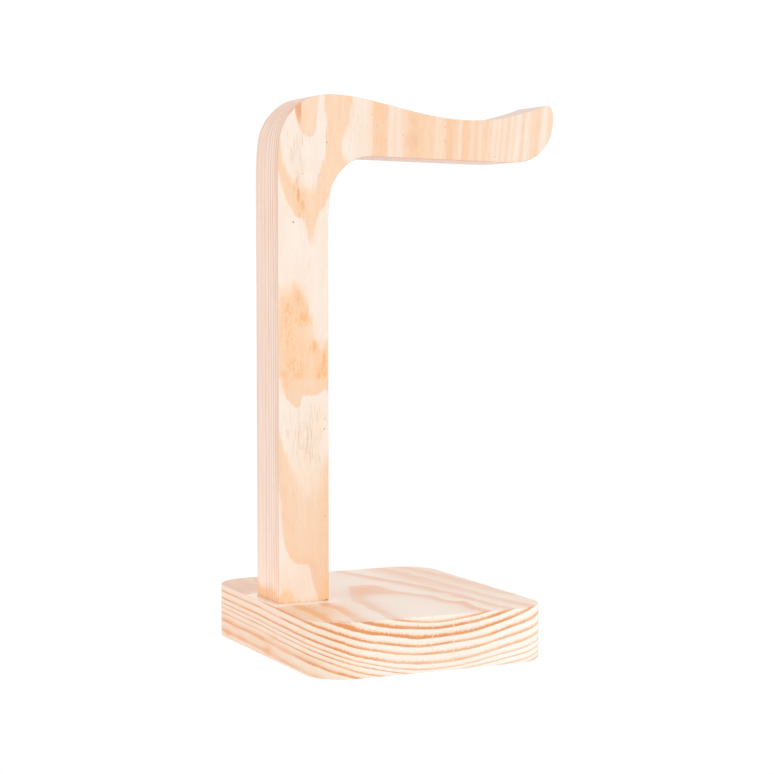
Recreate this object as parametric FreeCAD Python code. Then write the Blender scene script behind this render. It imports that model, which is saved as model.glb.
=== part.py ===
import FreeCAD, Part
import math
import os

# Desk headphone stand in pine: a base block with rounded corners and a hanger,
# post and arm in one board, standing on it near one edge.
#
# Frame: +Z up, +X from the post towards the arm's nose, Y across the arm.
# The origin is the middle of the whole stand's footprint box, on the table.
# Lengths in millimetres.

V = FreeCAD.Vector

# ---------------------------------------------------------------- driving sizes
PAD_T = 1.0            # felt pad thickness
PAD_R = 9.0            # felt pad radius
PAD_INSET = 17.0       # pad centre from each side of the base

BASE_X = 120.5         # base, along the arm
BASE_Y = 140.8         # base, across the arm
BASE_T = 26.2          # base board thickness
BASE_R = 19.0          # radius of the four upright corners
BASE_EASE = 0.6        # sanded round on the base's top and bottom edges
POST_SETBACK = 4.0     # post face in from the base's near edge, along X
POST_OFF_Y = 1.9       # middle plane of the board off the base's centre line

POST_W = 26.0          # post width, along X
BOARD_T = 28.0         # thickness of the hanger board, along Y
BOARD_EASE = 0.5       # sanded round on the hanger's long edges

SCREW_L = 60.0         # countersunk wood screw, 5 x 60
SCREW_HEAD_R = 4.8
SCREW_SHANK_R = 1.85
SCREW_CORE_R = 1.6
SCREW_THREAD_R = 2.5
SCREW_PITCH = 2.5
SCREW_SUNK = 0.4       # head face below the underside
SCREW_RIM = 0.25       # straight rim of the head, before its cone
SCREW_CLEAR_R = 2.75   # clearance hole through the base
DOWEL_R = 3.0
DOWEL_L = 30.0
DOWEL_IN_BASE = 14.0
DOWEL_AT = ((-6.5, -7.5), (6.5, 7.5))   # from the middle of the foot
HOLE_PLAY = 0.05       # radial play of the dowel holes, filled by glue

# Outline of the hanger above the straight post, as poles of clamped uniform
# cubic B-splines. x is measured from the post's outer face, z from the
# underside of the base block.
OUTER_AND_TOP = [       # up the outer face, round the corner, along the dip
    (0.0, 226.0), (0.0, 234.92), (0.53, 243.93), (1.88, 252.45),
    (7.17, 260.43), (15.19, 266.81), (26.49, 269.0), (41.57, 267.79),
    (58.93, 264.32), (77.06, 260.44), (94.4, 258.24), (109.24, 258.4),
    (120.72, 259.56), (128.87, 262.1), (135.55, 263.59), (141.4, 265.6)]
NOSE = [                # over the upturned nose and back under it
    (141.4, 265.6), (143.83, 266.43), (145.73, 267.29), (148.0, 266.33),
    (149.48, 263.34), (149.33, 258.25), (148.36, 252.06), (145.13, 246.23),
    (140.11, 241.55), (134.37, 238.95), (128.85, 238.32), (124.47, 238.04),
    (122.0, 238.08)]
ARMPIT = [              # from the arm's underside down into the post
    (50.0, 239.38), (45.5, 239.46), (39.54, 238.0), (34.4, 234.32),
    (29.99, 229.24), (27.18, 223.73), (26.6, 217.25), (26.0, 210.85),
    (26.0, 205.5)]


def bspline(points, x0, z0, y):
    n, k = len(points), 3
    poles = [V(x + x0, y, z + z0) for x, z in points]
    spans = n - k
    curve = Part.BSplineCurve()
    curve.buildFromPolesMultsKnots(
        poles, [k + 1] + [1] * (spans - 1) + [k + 1],
        [i / spans for i in range(spans + 1)], False, k)
    return curve


# The nose's furthest reach sets the stand's length, and so the origin.
_reach = max(p.x for p in bspline(NOSE, 0, 0, 0).discretize(400))
X0 = -(_reach - POST_SETBACK) / 2.0        # post's outer face
BX0 = X0 - POST_SETBACK                    # base's near edge
BXC = BX0 + BASE_X / 2.0                   # middle of the base
Z0 = PAD_T                                 # underside of the base
ZB = PAD_T + BASE_T                        # top of the base
FOOT = V(X0 + POST_W / 2.0, POST_OFF_Y, ZB)


def rounded_block(cx, cy, z, lx, ly, h, r):
    hx, hy = lx / 2.0, ly / 2.0
    s = r * (1 - math.sqrt(0.5))
    P = lambda x, y: V(cx + x, cy + y, z)
    edges = [
        Part.LineSegment(P(-hx + r, -hy), P(hx - r, -hy)).toShape(),
        Part.Arc(P(hx - r, -hy), P(hx - s, -hy + s), P(hx, -hy + r)).toShape(),
        Part.LineSegment(P(hx, -hy + r), P(hx, hy - r)).toShape(),
        Part.Arc(P(hx, hy - r), P(hx - s, hy - s), P(hx - r, hy)).toShape(),
        Part.LineSegment(P(hx - r, hy), P(-hx + r, hy)).toShape(),
        Part.Arc(P(-hx + r, hy), P(-hx + s, hy - s), P(-hx, hy - r)).toShape(),
        Part.LineSegment(P(-hx, hy - r), P(-hx, -hy + r)).toShape(),
        Part.Arc(P(-hx, -hy + r), P(-hx + s, -hy + s), P(-hx + r, -hy)).toShape(),
    ]
    return Part.Face(Part.Wire(edges)).extrude(V(0, 0, h))


# -------------------------------------------------------------------- base block
def make_base():
    b = rounded_block(BXC, 0, Z0, BASE_X, BASE_Y, BASE_T, BASE_R)
    rims = [e for e in b.Edges
            if abs(e.BoundBox.ZMin - e.BoundBox.ZMax) < 1e-6]
    b = b.makeFillet(BASE_EASE, rims)
    # screw: clearance hole and 90 degree countersink from below
    b = b.cut(Part.makeCylinder(SCREW_CLEAR_R, BASE_T + 2, V(FOOT.x, FOOT.y, Z0 - 1)))
    sink = SCREW_HEAD_R + 0.15
    seat = SCREW_SUNK + SCREW_RIM - 0.15       # the head's cone lies on the sink's
    b = b.cut(Part.makeCylinder(sink, seat + 1, V(FOOT.x, FOOT.y, Z0 - 1)))
    b = b.cut(Part.makeCone(sink, SCREW_CLEAR_R, sink - SCREW_CLEAR_R,
                            V(FOOT.x, FOOT.y, Z0 + seat)))
    for dx, dy in DOWEL_AT:
        b = b.cut(Part.makeCylinder(DOWEL_R + HOLE_PLAY, DOWEL_IN_BASE + 1.5,
                                    V(FOOT.x + dx, FOOT.y + dy, ZB - DOWEL_IN_BASE - 0.5)))
    return b


# ------------------------------------------------------------------------ hanger
def make_hanger():
    y = POST_OFF_Y - BOARD_T / 2.0
    P = lambda x, z: V(X0 + x, y, Z0 + z)
    edges = [
        Part.LineSegment(P(POST_W, BASE_T), P(0, BASE_T)).toShape(),
        Part.LineSegment(P(0, BASE_T), P(*OUTER_AND_TOP[0])).toShape(),
        bspline(OUTER_AND_TOP, X0, Z0, y).toShape(),
        bspline(NOSE, X0, Z0, y).toShape(),
        Part.LineSegment(P(*NOSE[-1]), P(*ARMPIT[0])).toShape(),
        bspline(ARMPIT, X0, Z0, y).toShape(),
        Part.LineSegment(P(*ARMPIT[-1]), P(POST_W, BASE_T)).toShape(),
    ]
    h = Part.Face(Part.Wire(edges)).extrude(V(0, BOARD_T, 0))
    long_edges = []
    for e in h.Edges:
        bb = e.BoundBox
        flat = abs(bb.YMin - bb.YMax) < 1e-6
        foot = bb.ZMax < ZB + 0.01
        if flat and not foot:
            long_edges.append(e)
    h = h.makeFillet(BOARD_EASE, long_edges)
    # the thread cuts this bore in the end grain; its mouth meets the base
    depth = SCREW_SUNK + SCREW_L - BASE_T
    h = h.cut(Part.makeCylinder(SCREW_THREAD_R + 0.03, depth - 3.0, FOOT))
    h = h.cut(Part.makeCone(SCREW_THREAD_R + 0.03, 0.4, 4.0,
                            V(FOOT.x, FOOT.y, ZB + depth - 3.0)))
    for dx, dy in DOWEL_AT:
        h = h.cut(Part.makeCylinder(DOWEL_R + HOLE_PLAY, DOWEL_L - DOWEL_IN_BASE + 1.0,
                                    V(FOOT.x + dx, FOOT.y + dy, ZB)))
    return h


# ------------------------------------------------------------------- screw 5 x 60
def make_screw():
    z = Z0 + SCREW_SUNK
    hl = SCREW_HEAD_R - SCREW_SHANK_R           # 90 degree head
    pts = [(0, 0), (SCREW_HEAD_R, 0), (SCREW_HEAD_R, SCREW_RIM),
           (SCREW_SHANK_R, hl + 0.25), (SCREW_SHANK_R, 22.0),
           (SCREW_CORE_R, 22.6)]
    t = 23.4
    while t + SCREW_PITCH < SCREW_L - 5.0:      # thread rings
        pts += [(SCREW_CORE_R, t), (SCREW_THREAD_R, t + 0.7),
                (SCREW_THREAD_R, t + 0.85), (SCREW_CORE_R, t + 1.5)]
        t += SCREW_PITCH
    pts += [(SCREW_CORE_R, SCREW_L - 4.5), (0, SCREW_L)]
    ring = Part.makePolygon([V(r, 0, h) for r, h in pts] + [V(0, 0, 0)])
    s = Part.Face(ring).revolve(V(0, 0, 0), V(0, 0, 1), 360)
    # six-lobed driver recess
    depth, rr, lobe = 2.4, 1.62, 0.62
    star = Part.makeCylinder(1.55, depth, V(0, 0, -0.01))
    for i in range(6):
        a = math.radians(60 * i)
        star = star.fuse(Part.makeCylinder(
            lobe, depth, V(rr * math.cos(a), rr * math.sin(a), -0.01)))
    s = s.cut(star)
    s.translate(V(FOOT.x, FOOT.y, z))
    return s


# ------------------------------------------------------- fluted dowels, 6 x 30 mm
def make_dowels():
    out = []
    for dx, dy in DOWEL_AT:
        d = Part.makeCylinder(DOWEL_R, DOWEL_L)
        d = d.makeChamfer(0.8, [e for e in d.Edges if len(e.Vertexes) == 1])
        for i in range(10):
            a = math.radians(36 * i)
            d = d.cut(Part.makeCylinder(0.4, DOWEL_L + 2, V(
                (DOWEL_R + 0.12) * math.cos(a), (DOWEL_R + 0.12) * math.sin(a), -1)))
        d.translate(V(FOOT.x + dx, FOOT.y + dy, ZB - DOWEL_IN_BASE))
        out.append(d)
    return Part.makeCompound(out)


# --------------------------------------------------------------------- felt pads
def make_pads():
    out = []
    for sx in (-1, 1):
        for sy in (-1, 1):
            out.append(Part.makeCylinder(PAD_R, PAD_T, V(
                BXC + sx * (BASE_X / 2 - PAD_INSET),
                sy * (BASE_Y / 2 - PAD_INSET), 0)))
    return Part.makeCompound(out)


os.makedirs("parts", exist_ok=True)
NODES = {
    "base_block": make_base(),
    "hanger": make_hanger(),
    "foot_screw": make_screw(),
    "foot_dowels": make_dowels(),
    "felt_pads": make_pads(),
}
for name, shape in NODES.items():
    bb = shape.BoundBox
    print(name, "solids", len(shape.Solids), "valid", shape.isValid(),
          "volume_mm3 %.1f" % shape.Volume,
          "box %.3f..%.3f %.3f..%.3f %.3f..%.3f"
          % (bb.XMin, bb.XMax, bb.YMin, bb.YMax, bb.ZMin, bb.ZMax))
    shape.exportStep("parts/%s.step" % name)
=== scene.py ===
import math

import bpy
import bmesh
import numpy as np
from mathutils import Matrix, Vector
from mathutils.geometry import delaunay_2d_cdt


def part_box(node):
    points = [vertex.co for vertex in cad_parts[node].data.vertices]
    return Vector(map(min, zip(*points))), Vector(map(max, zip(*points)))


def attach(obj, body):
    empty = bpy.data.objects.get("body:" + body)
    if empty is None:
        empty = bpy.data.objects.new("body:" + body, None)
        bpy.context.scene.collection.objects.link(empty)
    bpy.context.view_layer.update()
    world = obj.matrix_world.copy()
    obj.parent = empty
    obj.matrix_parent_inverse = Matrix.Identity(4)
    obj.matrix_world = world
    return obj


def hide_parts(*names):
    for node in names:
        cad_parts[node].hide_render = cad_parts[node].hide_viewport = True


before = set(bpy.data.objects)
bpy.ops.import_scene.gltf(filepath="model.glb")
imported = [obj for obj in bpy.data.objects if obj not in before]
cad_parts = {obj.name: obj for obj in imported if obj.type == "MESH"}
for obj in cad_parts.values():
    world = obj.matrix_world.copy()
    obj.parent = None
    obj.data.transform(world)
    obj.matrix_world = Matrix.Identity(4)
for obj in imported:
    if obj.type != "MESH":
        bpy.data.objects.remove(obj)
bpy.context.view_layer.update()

MM = 0.001

# ------------------------------------------------------------------ the frame
H_LO, H_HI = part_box("hanger")
B_LO, B_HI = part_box("base_block")
X0 = H_LO.x / MM                 # post's outer face, mm
Z0 = B_LO.z / MM                 # underside of the base, mm
ZB = B_HI.z / MM                 # top of the base, mm
YC = (H_LO.y + H_HI.y) / 2 / MM  # middle plane of the hanger board, mm
BOARD = (H_HI.y - H_LO.y) / MM
POST_W = 26.0
BASE_R, BASE_EASE, BOARD_EASE = 19.0, 0.6, 0.5
ZF = ZB - Z0                     # foot's height in board coordinates

# Board coordinates: u from the post's outer face along the arm, v up from the
# underside of the base, w across the board from its middle plane, in mm.

# ------------------------------------------------------------------ b-splines
OUTER_AND_TOP = [
    (0.0, 226.0), (0.0, 234.92), (0.53, 243.93), (1.88, 252.45),
    (7.17, 260.43), (15.19, 266.81), (26.49, 269.0), (41.57, 267.79),
    (58.93, 264.32), (77.06, 260.44), (94.4, 258.24), (109.24, 258.4),
    (120.72, 259.56), (128.87, 262.1), (135.55, 263.59), (141.4, 265.6)]
NOSE = [
    (141.4, 265.6), (143.83, 266.43), (145.73, 267.29), (148.0, 266.33),
    (149.48, 263.34), (149.33, 258.25), (148.36, 252.06), (145.13, 246.23),
    (140.11, 241.55), (134.37, 238.95), (128.85, 238.32), (124.47, 238.04),
    (122.0, 238.08)]
ARMPIT = [
    (50.0, 239.38), (45.5, 239.46), (39.54, 238.0), (34.4, 234.32),
    (29.99, 229.24), (27.18, 223.73), (26.6, 217.25), (26.0, 210.85),
    (26.0, 205.5)]


def bspline(poles, n):
    """n points along a clamped uniform cubic b-spline."""
    P = np.array(poles, float)
    k, m = 3, len(P)
    spans = m - k
    T = np.concatenate([[0.0] * k, np.linspace(0, 1, spans + 1), [1.0] * k])
    u = np.linspace(0, 1, n)
    u[-1] = 1 - 1e-12
    B = [((T[i] <= u) & (u < T[i + 1])).astype(float) for i in range(len(T) - 1)]
    for d in range(1, k + 1):
        nb = []
        for i in range(len(T) - 1 - d):
            a = T[i + d] - T[i]
            b = T[i + d + 1] - T[i + 1]
            v = np.zeros(n)
            if a > 0:
                v = v + (u - T[i]) / a * B[i]
            if b > 0:
                v = v + (T[i + d + 1] - u) / b * B[i + 1]
            nb.append(v)
        B = nb
    W = np.stack(B, 1)
    return W @ P


def arclen(P):
    return np.concatenate([[0], np.cumsum(np.hypot(*np.diff(P, axis=0).T))])


def resample(P, s):
    L = arclen(P)
    return np.stack([np.interp(s, L, P[:, 0]), np.interp(s, L, P[:, 1])], 1)


def normals(P):
    """Unit normals to the right of travel."""
    t = np.gradient(P, axis=0)
    t /= np.maximum(np.hypot(t[:, 0], t[:, 1]), 1e-9)[:, None]
    return np.stack([t[:, 1], -t[:, 0]], 1)


def near(P, q):
    """Arc length of the point of P nearest to q."""
    return arclen(P)[np.argmin(np.hypot(P[:, 0] - q[0], P[:, 1] - q[1]))]


# --------------------------------------------------------------- numpy noise
def lattice(seed):
    return np.random.RandomState(seed).rand(64, 64, 64)


_LAT = {}


def vnoise(p, seed=0):
    """Smooth value noise, about -1 to 1, of points p (n, 3)."""
    if seed not in _LAT:
        _LAT[seed] = lattice(seed)
    G = _LAT[seed]
    p = np.asarray(p, float)
    i = np.floor(p).astype(int)
    f = p - i
    f = f * f * (3 - 2 * f)
    i0 = i % 64
    i1 = (i + 1) % 64
    out = 0
    for dx in (0, 1):
        for dy in (0, 1):
            for dz in (0, 1):
                w = ((f[:, 0] if dx else 1 - f[:, 0]) * (f[:, 1] if dy else 1 - f[:, 1])
                     * (f[:, 2] if dz else 1 - f[:, 2]))
                out = out + w * G[(i1 if dx else i0)[:, 0], (i1 if dy else i0)[:, 1],
                                  (i1 if dz else i0)[:, 2]]
    return out * 2 - 1


def new_object(name, co, faces, smooth=True):
    me = bpy.data.meshes.new(name)
    me.from_pydata([tuple(c) for c in co], [], faces)
    me.update()
    if smooth:
        me.polygons.foreach_set("use_smooth", [True] * len(me.polygons))
    ob = bpy.data.objects.new(name, me)
    bpy.context.scene.collection.objects.link(ob)
    return ob


def outward(ob):
    bm = bmesh.new()
    bm.from_mesh(ob.data)
    bmesh.ops.remove_doubles(bm, verts=bm.verts, dist=2e-7)
    bmesh.ops.recalc_face_normals(bm, faces=bm.faces)
    bm.to_mesh(ob.data)
    bm.free()
    ob.data.update()


def attribute(ob, name, values):
    a = ob.data.attributes.new(name, "FLOAT", "POINT")
    a.data.foreach_set("value", np.asarray(values, np.float32))


def keep_inside(ob, lo, hi):
    """No vertex past this box."""
    for v in ob.data.vertices:
        v.co = [min(max(c, a), b) for c, a, b in zip(v.co, lo, hi)]
    ob.data.update()


def coords(ob):
    co = np.empty(len(ob.data.vertices) * 3)
    ob.data.vertices.foreach_get("co", co)
    return co.reshape(-1, 3)


# ==================================================================== hanger
STEP = 0.62


def hanger_outline():
    """Outer, nose and inner curves of the board's face, foot at both ends."""
    outer = np.vstack([[(0, ZF)], bspline(OUTER_AND_TOP, 900)])
    nose = bspline(NOSE, 900)
    inner = np.vstack([[(POST_W, ZF)], bspline(ARMPIT, 500)[::-1],
                       nose[np.argsort(-np.arange(len(nose)))][:1]])
    # the nose's end, where the cap grid turns round, lies between these two
    a = near(nose, (145.0, 267.0))
    b = near(nose, (136.0, 239.7))
    L = arclen(nose)
    head = nose[L <= a]
    end = resample(nose, np.linspace(a, b, 400))
    tail = nose[L >= b]
    outer = np.vstack([outer, head[1:], end[:1]])
    inner = np.vstack([[(POST_W, ZF)], bspline(ARMPIT, 500)[::-1], tail[::-1], end[-1:]])
    return outer, end, inner


def hanger_mesh():
    outer, end, inner = hanger_outline()
    So, Si = arclen(outer), arclen(inner)
    # pairs of stations that face each other across the board
    pairs = [((0, ZF), (POST_W, ZF)), ((0, 205), (POST_W, 205.6)),
             ((1.2, 248), (27.3, 225.5)), ((9.3, 262.0), (33.6, 233.3)),
             ((33.0, 268.4), (44.5, 239.0)), ((54.0, 265.3), (54.0, 239.3)),
             ((122.0, 260.0), (122.0, 238.1)), ((145.0, 267.0), (136.0, 239.7))]
    so = [near(outer, a) for a, _ in pairs]
    si = [near(inner, b) for _, b in pairs]
    so[-1], si[-1] = So[-1], Si[-1]
    mean = (np.array(so) + np.array(si)) / 2
    n = int(mean[-1] / STEP)
    q = np.linspace(0, mean[-1], n + 1)
    # finer rows at the foot, where the chip and the glue line are
    q = np.concatenate([[0, 0.25, 0.55, 0.95], q[q > 1.3]])
    n = len(q) - 1

    def smooth_map(x, y):
        # monotone cubic through the stations
        h = np.diff(x)
        d = np.diff(y) / h
        m = np.concatenate([[d[0]], 2 / (1 / d[:-1] + 1 / d[1:]), [d[-1]]])
        i = np.clip(np.searchsorted(x, q, side="right") - 1, 0, len(h) - 1)
        t = (q - np.array(x)[i]) / h[i]
        return ((2 * t**3 - 3 * t**2 + 1) * np.array(y)[i] + (t**3 - 2 * t**2 + t) * h[i] * m[i]
                + (-2 * t**3 + 3 * t**2) * np.array(y)[i + 1] + (t**3 - t**2) * h[i] * m[i + 1])

    O = resample(outer, smooth_map(mean, np.array(so)))
    I = resample(inner, smooth_map(mean, np.array(si)))
    nt = 42
    E = resample(end, np.linspace(0, arclen(end)[-1], nt + 1))
    O[-1], I[-1] = E[0], E[-1]
    # inward normals of the whole rim
    rim = np.vstack([O, E[1:-1], I[::-1]])
    nr = normals(rim)                      # travel: up, over, back: inward is right
    nO, nE, nI = nr[:n + 1], nr[n:n + nt + 1], nr[n + nt:][::-1]
    for nn in (nO, nI):
        nn[0] = (1 if nn is nO else -1, 0)

    def ring(off):
        return O + nO * off, E + nE * off, I + nI * off

    r = BOARD_EASE
    half = BOARD / 2
    k_round, k_side = 4, 14
    levels = []                            # (offset, w)
    for j in range(k_round + 1):
        a = math.pi / 2 * j / k_round
        levels.append((r * (1 - math.sin(a)), -half + r * (1 - math.cos(a))))
    for w in np.linspace(-half + r, half - r, k_side + 1)[1:-1]:
        levels.append((0.0, w))
    levels += [(o, -w) for o, w in levels[:k_round + 1][::-1]]

    co, idx = [], []

    def add(pts, w):
        base = len(co)
        co.extend((p[0], w, p[1]) for p in pts)
        return base

    # rim loops, each from the foot's outer corner round to its inner corner
    loops = []
    for off, w in levels:
        o, e, i = ring(off)
        pts = np.vstack([o, e[1:-1], i[::-1]])
        loops.append((add(pts, w), len(pts)))
    faces = []
    for (a, m), (b, _) in zip(loops[:-1], loops[1:]):
        for j in range(m - 1):
            faces.append((a + j, b + j, b + j + 1, a + j + 1))
    # caps: ruled across the board, with the nose's round end blended in
    for which in (0, -1):
        off, w = levels[which]
        o, e, i = ring(off)
        start, m = loops[which]
        t = np.linspace(0, 1, nt + 1)[None, :, None]
        s = (q / q[-1])[:, None, None]
        body = o[:, None] * (1 - t) + i[:, None] * t
        lin = e[0] * (1 - t[0]) + e[-1] * t[0]
        k = np.clip((s - 0.86) / 0.14, 0, 1) ** 1.6
        grid = body + k * (e[None] - lin[None])
        g = np.empty((n + 1, nt + 1), int)
        for a in range(n + 1):
            g[a, 0] = start + a
            g[a, nt] = start + m - 1 - a
        for b in range(1, nt):
            g[n, b] = start + n + b
        inside = add(grid[:n, 1:nt].reshape(-1, 2), w)
        g[:n, 1:nt] = inside + np.arange(n * (nt - 1)).reshape(n, nt - 1)
        for a in range(n):
            for b in range(nt):
                f = (g[a, b], g[a, b + 1], g[a + 1, b + 1], g[a + 1, b])
                faces.append(f if which == 0 else f[::-1])
        idx.append(g[0])
    # the foot: one flat face that sits on the base
    foot = list(idx[0])
    foot += [loops[j][0] + loops[j][1] - 1 for j in range(1, len(loops) - 1)]
    foot += list(idx[1][::-1])
    foot += [loops[j][0] for j in range(len(loops) - 2, 0, -1)]
    faces.append(tuple(int(v) for v in foot))
    co = np.array(co)

    # hand sanding: the rims wander a few hundredths, always inwards
    p = np.stack([co[:, 0] / 9, co[:, 1] / 9, co[:, 2] / 9], 1)
    dip = 0.035 * (1 + vnoise(p, 3))
    rimness = np.clip((np.abs(co[:, 1]) - (half - 2.0)) / 2.0, 0, 1)
    co[:, 1] -= np.sign(co[:, 1]) * dip * (0.25 + 0.75 * rimness)
    # a small chip lifts the foot's front inner corner off the base
    cx = np.clip((co[:, 0] - (POST_W - 3.3)) / 3.3, 0, 1)
    cy = np.clip((-co[:, 1] - (half - 2.6)) / 2.0, 0, 1)
    cz = np.clip(1 - (co[:, 2] - ZF) / 2.2, 0, 1)
    co[:, 2] += 0.95 * cx**0.8 * cy * cz
    co[:, 0] += X0
    co[:, 1] += YC
    co[:, 2] += Z0
    ob = new_object("hanger_wood", co * MM, [tuple(int(v) for v in f) for f in faces])
    outward(ob)
    return ob


# ----------------------------------------------- growth rings in the hanger
# Boundaries of the darker growth zones on the board's front face, as closed
# outlines in board coordinates: (u, v, softness of the edge), mm.
ZONES = [
    # low on the post
    [(-1, 113, .8), (.9, 106, .8), (1.8, 103, .8), (3.2, 99, 1.2), (5, 94.5, 1.5), (6.8, 89.5, 1.8),
     (9, 85.5, 4), (11.5, 80.5, 6), (14.2, 77.5, 8), (17, 78.5, 8), (20, 81.5, 7), (22.3, 85, 5), (23.6, 90, 3),
     (24.8, 95, 2), (27, 101, 1), (27, 20, 1), (20.6, 20, .6), (20.3, 27, .6), (19.5, 30, .6), (18, 34, .6),
     (17, 38, .5), (16.2, 42, .5), (15, 44.9, .4), (12, 44.6, .4), (9, 45, .4), (7, 46.5, .5), (5, 49.5, .6),
     (3.5, 53, .6), (2.5, 57, .7), (1.8, 62, .8), (1.2, 70, .8), (0.9, 78, .8), (-1, 80, .8)],
    # middle of the post
    [(-1, 137, .5), (1.5, 133, .5), (2.3, 130, .5), (3, 127, .5), (4.2, 124.5, .5), (6, 122.3, .5),
     (8, 120.4, .5), (9.7, 119.6, .5), (11, 120.2, .5), (11.7, 122.5, .5), (12.3, 125.6, .5), (15, 125.4, .6),
     (18, 125.2, .6), (20.5, 125.8, .6), (22.5, 127.3, .6), (24.5, 128.3, .6), (27, 126.5, .6),
     (27, 151, 2), (25, 151.5, 2), (23.8, 149.5, 2), (22.8, 147.2, 2), (21.8, 147.4, 2), (20.8, 150, 2),
     (19.8, 151.5, 2), (18.6, 152.6, 1.8), (17.6, 155, 1.8), (17, 158, 1.6), (17.2, 160.5, 1.3), (16.2, 163.5, 1.3),
     (15.5, 167, 1.5), (14, 171, 1.8), (12.5, 174.3, 2), (10.5, 176.8, 2.4), (9, 178.8, 2.4), (8, 179.8, 2.4),
     (7, 178.3, 2.4), (5.5, 176.3, 2.4), (3.5, 177, 2.4), (1.5, 176.8, 2.4), (-1, 177, 2.4)],
    # tongue under the corner and the band over the armpit
    [(-1, 234, 1), (1.2, 228, .9), (2.6, 222.5, .7), (4.2, 218, .6), (6.2, 215, .6), (8, 212.4, .5),
     (9.5, 210.2, .5), (11.5, 209.8, .5), (13, 209.3, .6), (14, 207, .9), (14.6, 203.5, 1.3), (15.2, 199.8, 2.0),
     (16.2, 197.4, 2.4), (17.4, 197.6, 2.4), (18, 200, 2.0), (18.7, 204.5, 1.2), (19.8, 208.5, .6), (21, 212, .6),
     (23, 214.5, .6), (25, 217.5, .6), (27, 221, .6), (31, 221, .6), (40, 232, .6),
     (36.4, 237, 1.0), (35.5, 242, 1.2), (36, 246.5, 1.0), (37.2, 251, .7), (38.3, 256, .6), (38.7, 262, .6), (38.9, 272, .6),
     (24.2, 272, .5), (24.4, 262, .5), (25, 256, .5), (25.2, 249, .4), (24.9, 244, .4), (24.2, 239.5, .6),
     (22.8, 234.5, .9), (21.3, 229.5, 1.2), (20, 225.5, 2.4), (18.3, 222.6, 3.6), (16, 221.6, 4.2),
     (13, 222.5, 4.2), (10.5, 224.5, 3.4), (8, 226.7, 2.2), (5.8, 229.8, 1.5), (3.8, 233.5, 1.2), (2.3, 238, 1), (1.3, 243, .9),
     (.6, 250, .9), (-1, 252, .9)],
    # tongue inside the corner
    [(8.6, 262.5, .5), (9.2, 258, .5), (10, 254.5, .5), (11.2, 251.6, .5), (12.8, 249.4, .5), (15, 248.1, .6),
     (17.5, 248, .6), (19, 249.2, .5), (19.8, 252.5, .5), (20.3, 257, .6), (20.9, 262, .8), (21.4, 272, .8),
     (7, 272, .5)],
]
# a resinous wedge beside that tongue
WEDGE = [(9.0, 265, .3), (8.9, 261, .3), (9.2, 257.5, .3), (10.0, 254.6, .4), (11.2, 252.4, .6), (12.0, 254, .4),
         (12.15, 258, .25), (12.1, 262, .25), (11.9, 266, .25)]


# (u, v, radius u, radius v, amount) of patches on the front face, mm
FLECKS = [(5, 168, 5, 9, .75), (12.5, 170, 4.5, 9, .72), (13, 161.5, 6, 3.2, .62), (3.5, 158, 4, 8, .45),
          (6, 149, 5.5, 9, .62), (13, 151, 5, 7, .50), (23.2, 142.5, 3.2, 8.5, 1.0), (17.4, 149, 2.4, 6, .90),
          (20.5, 135.5, 4.5, 4.5, .75), (7, 138, 5, 8, .74), (13, 138, 4, 6, .62), (3, 131, 3, 5, .50),
          (24.6, 90, 1.8, 7, .70), (25, 74, 1.4, 10, .35), (11.4, 217, 2.6, 8, .85), (9.3, 223.5, 2.2, 6, .60), (16, 222, 3, 4, .30),
          (20, 218, 3, 5, .25), (2.0, 236, 1.3, 9, .35), (13.5, 256, 2.2, 6, .45), (31, 262, 2.5, 6, .30), (30.5, 236, 3, 6, .22),
          (52.5, 262, 2, 4, .35), (53, 246, 2, 6, .3), (72, 256, 2, 5, .22), (89.5, 250, 1.2, 9, .35), (99.5, 250, 1.2, 9, .3), (24, 60, 4, 28, .35), (17, 60, 7, 10, .15), (4, 30, 5, 7, .55), (24.5, 30, 2.5, 7, .7)]
WARM = [(10, 36, 9, 12, .30), (12, 108, 8, 13, .50), (21, 112, 5, 14, .55), (24.5, 190, 2.5, 22, .45), (3, 192, 3, 14, .40),
        (8, 241, 4, 12, .50), (14, 233, 6, 5, .5), (3, 216, 2.5, 6, .4), (22, 205, 3, 10, .35), (12, 186, 6, 6, .35),
        (44, 250, 3, 14, .5), (22.6, 258, 1.6, 8, .35), (25.5, 160, 1.5, 9, .5), (15, 84, 9, 9, .95), (12, 96, 10, 8, .45)]
CANALS = [(11, 106, 8, 12, .95), (9.5, 239, 4.5, 12, .80), (21.5, 232, 1.6, 6, .6), (20, 117, 5, 8, .75), (12, 247, 6, 6, .4),
          (5, 186, 4, 9, .3), (18, 97, 6, 10, .65), (16, 190, 5, 12, .30), (22.5, 262, 1.5, 5, .6), (42, 255, 4, 9, .35),
          (9.5, 223, 2, 6, .9), (4, 34, 5, 8, .5)]


def chaikin(poly, times=2):
    P = np.array(poly, float)
    for _ in range(times):
        Q = np.roll(P, -1, axis=0)
        P = np.stack([P * .75 + Q * .25, P * .25 + Q * .75], 1).reshape(-1, P.shape[1])
    return P


def signed(poly, pts):
    """Signed distance to a closed outline, inside positive, and the edge's softness."""
    P = chaikin(poly)
    A, B = P, np.roll(P, -1, axis=0)
    best = np.full(len(pts), 1e9)
    soft = np.ones(len(pts))
    inside = np.zeros(len(pts), bool)
    for a, b in zip(A, B):
        d = b[:2] - a[:2]
        l2 = max(d @ d, 1e-12)
        t = np.clip(((pts - a[:2]) @ d) / l2, 0, 1)
        e = np.hypot(*(pts - a[:2] - t[:, None] * d).T)
        m = e < best
        best[m] = e[m]
        soft[m] = (a[2] + t * (b[2] - a[2]))[m]
        c = (a[1] > pts[:, 1]) != (b[1] > pts[:, 1])
        if c.any() and abs(b[1] - a[1]) > 1e-12:
            x = a[0] + (pts[:, 1] - a[1]) * (b[0] - a[0]) / (b[1] - a[1])
            inside ^= c & (pts[:, 0] < x)
    return np.where(inside, best, -best), soft


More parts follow.
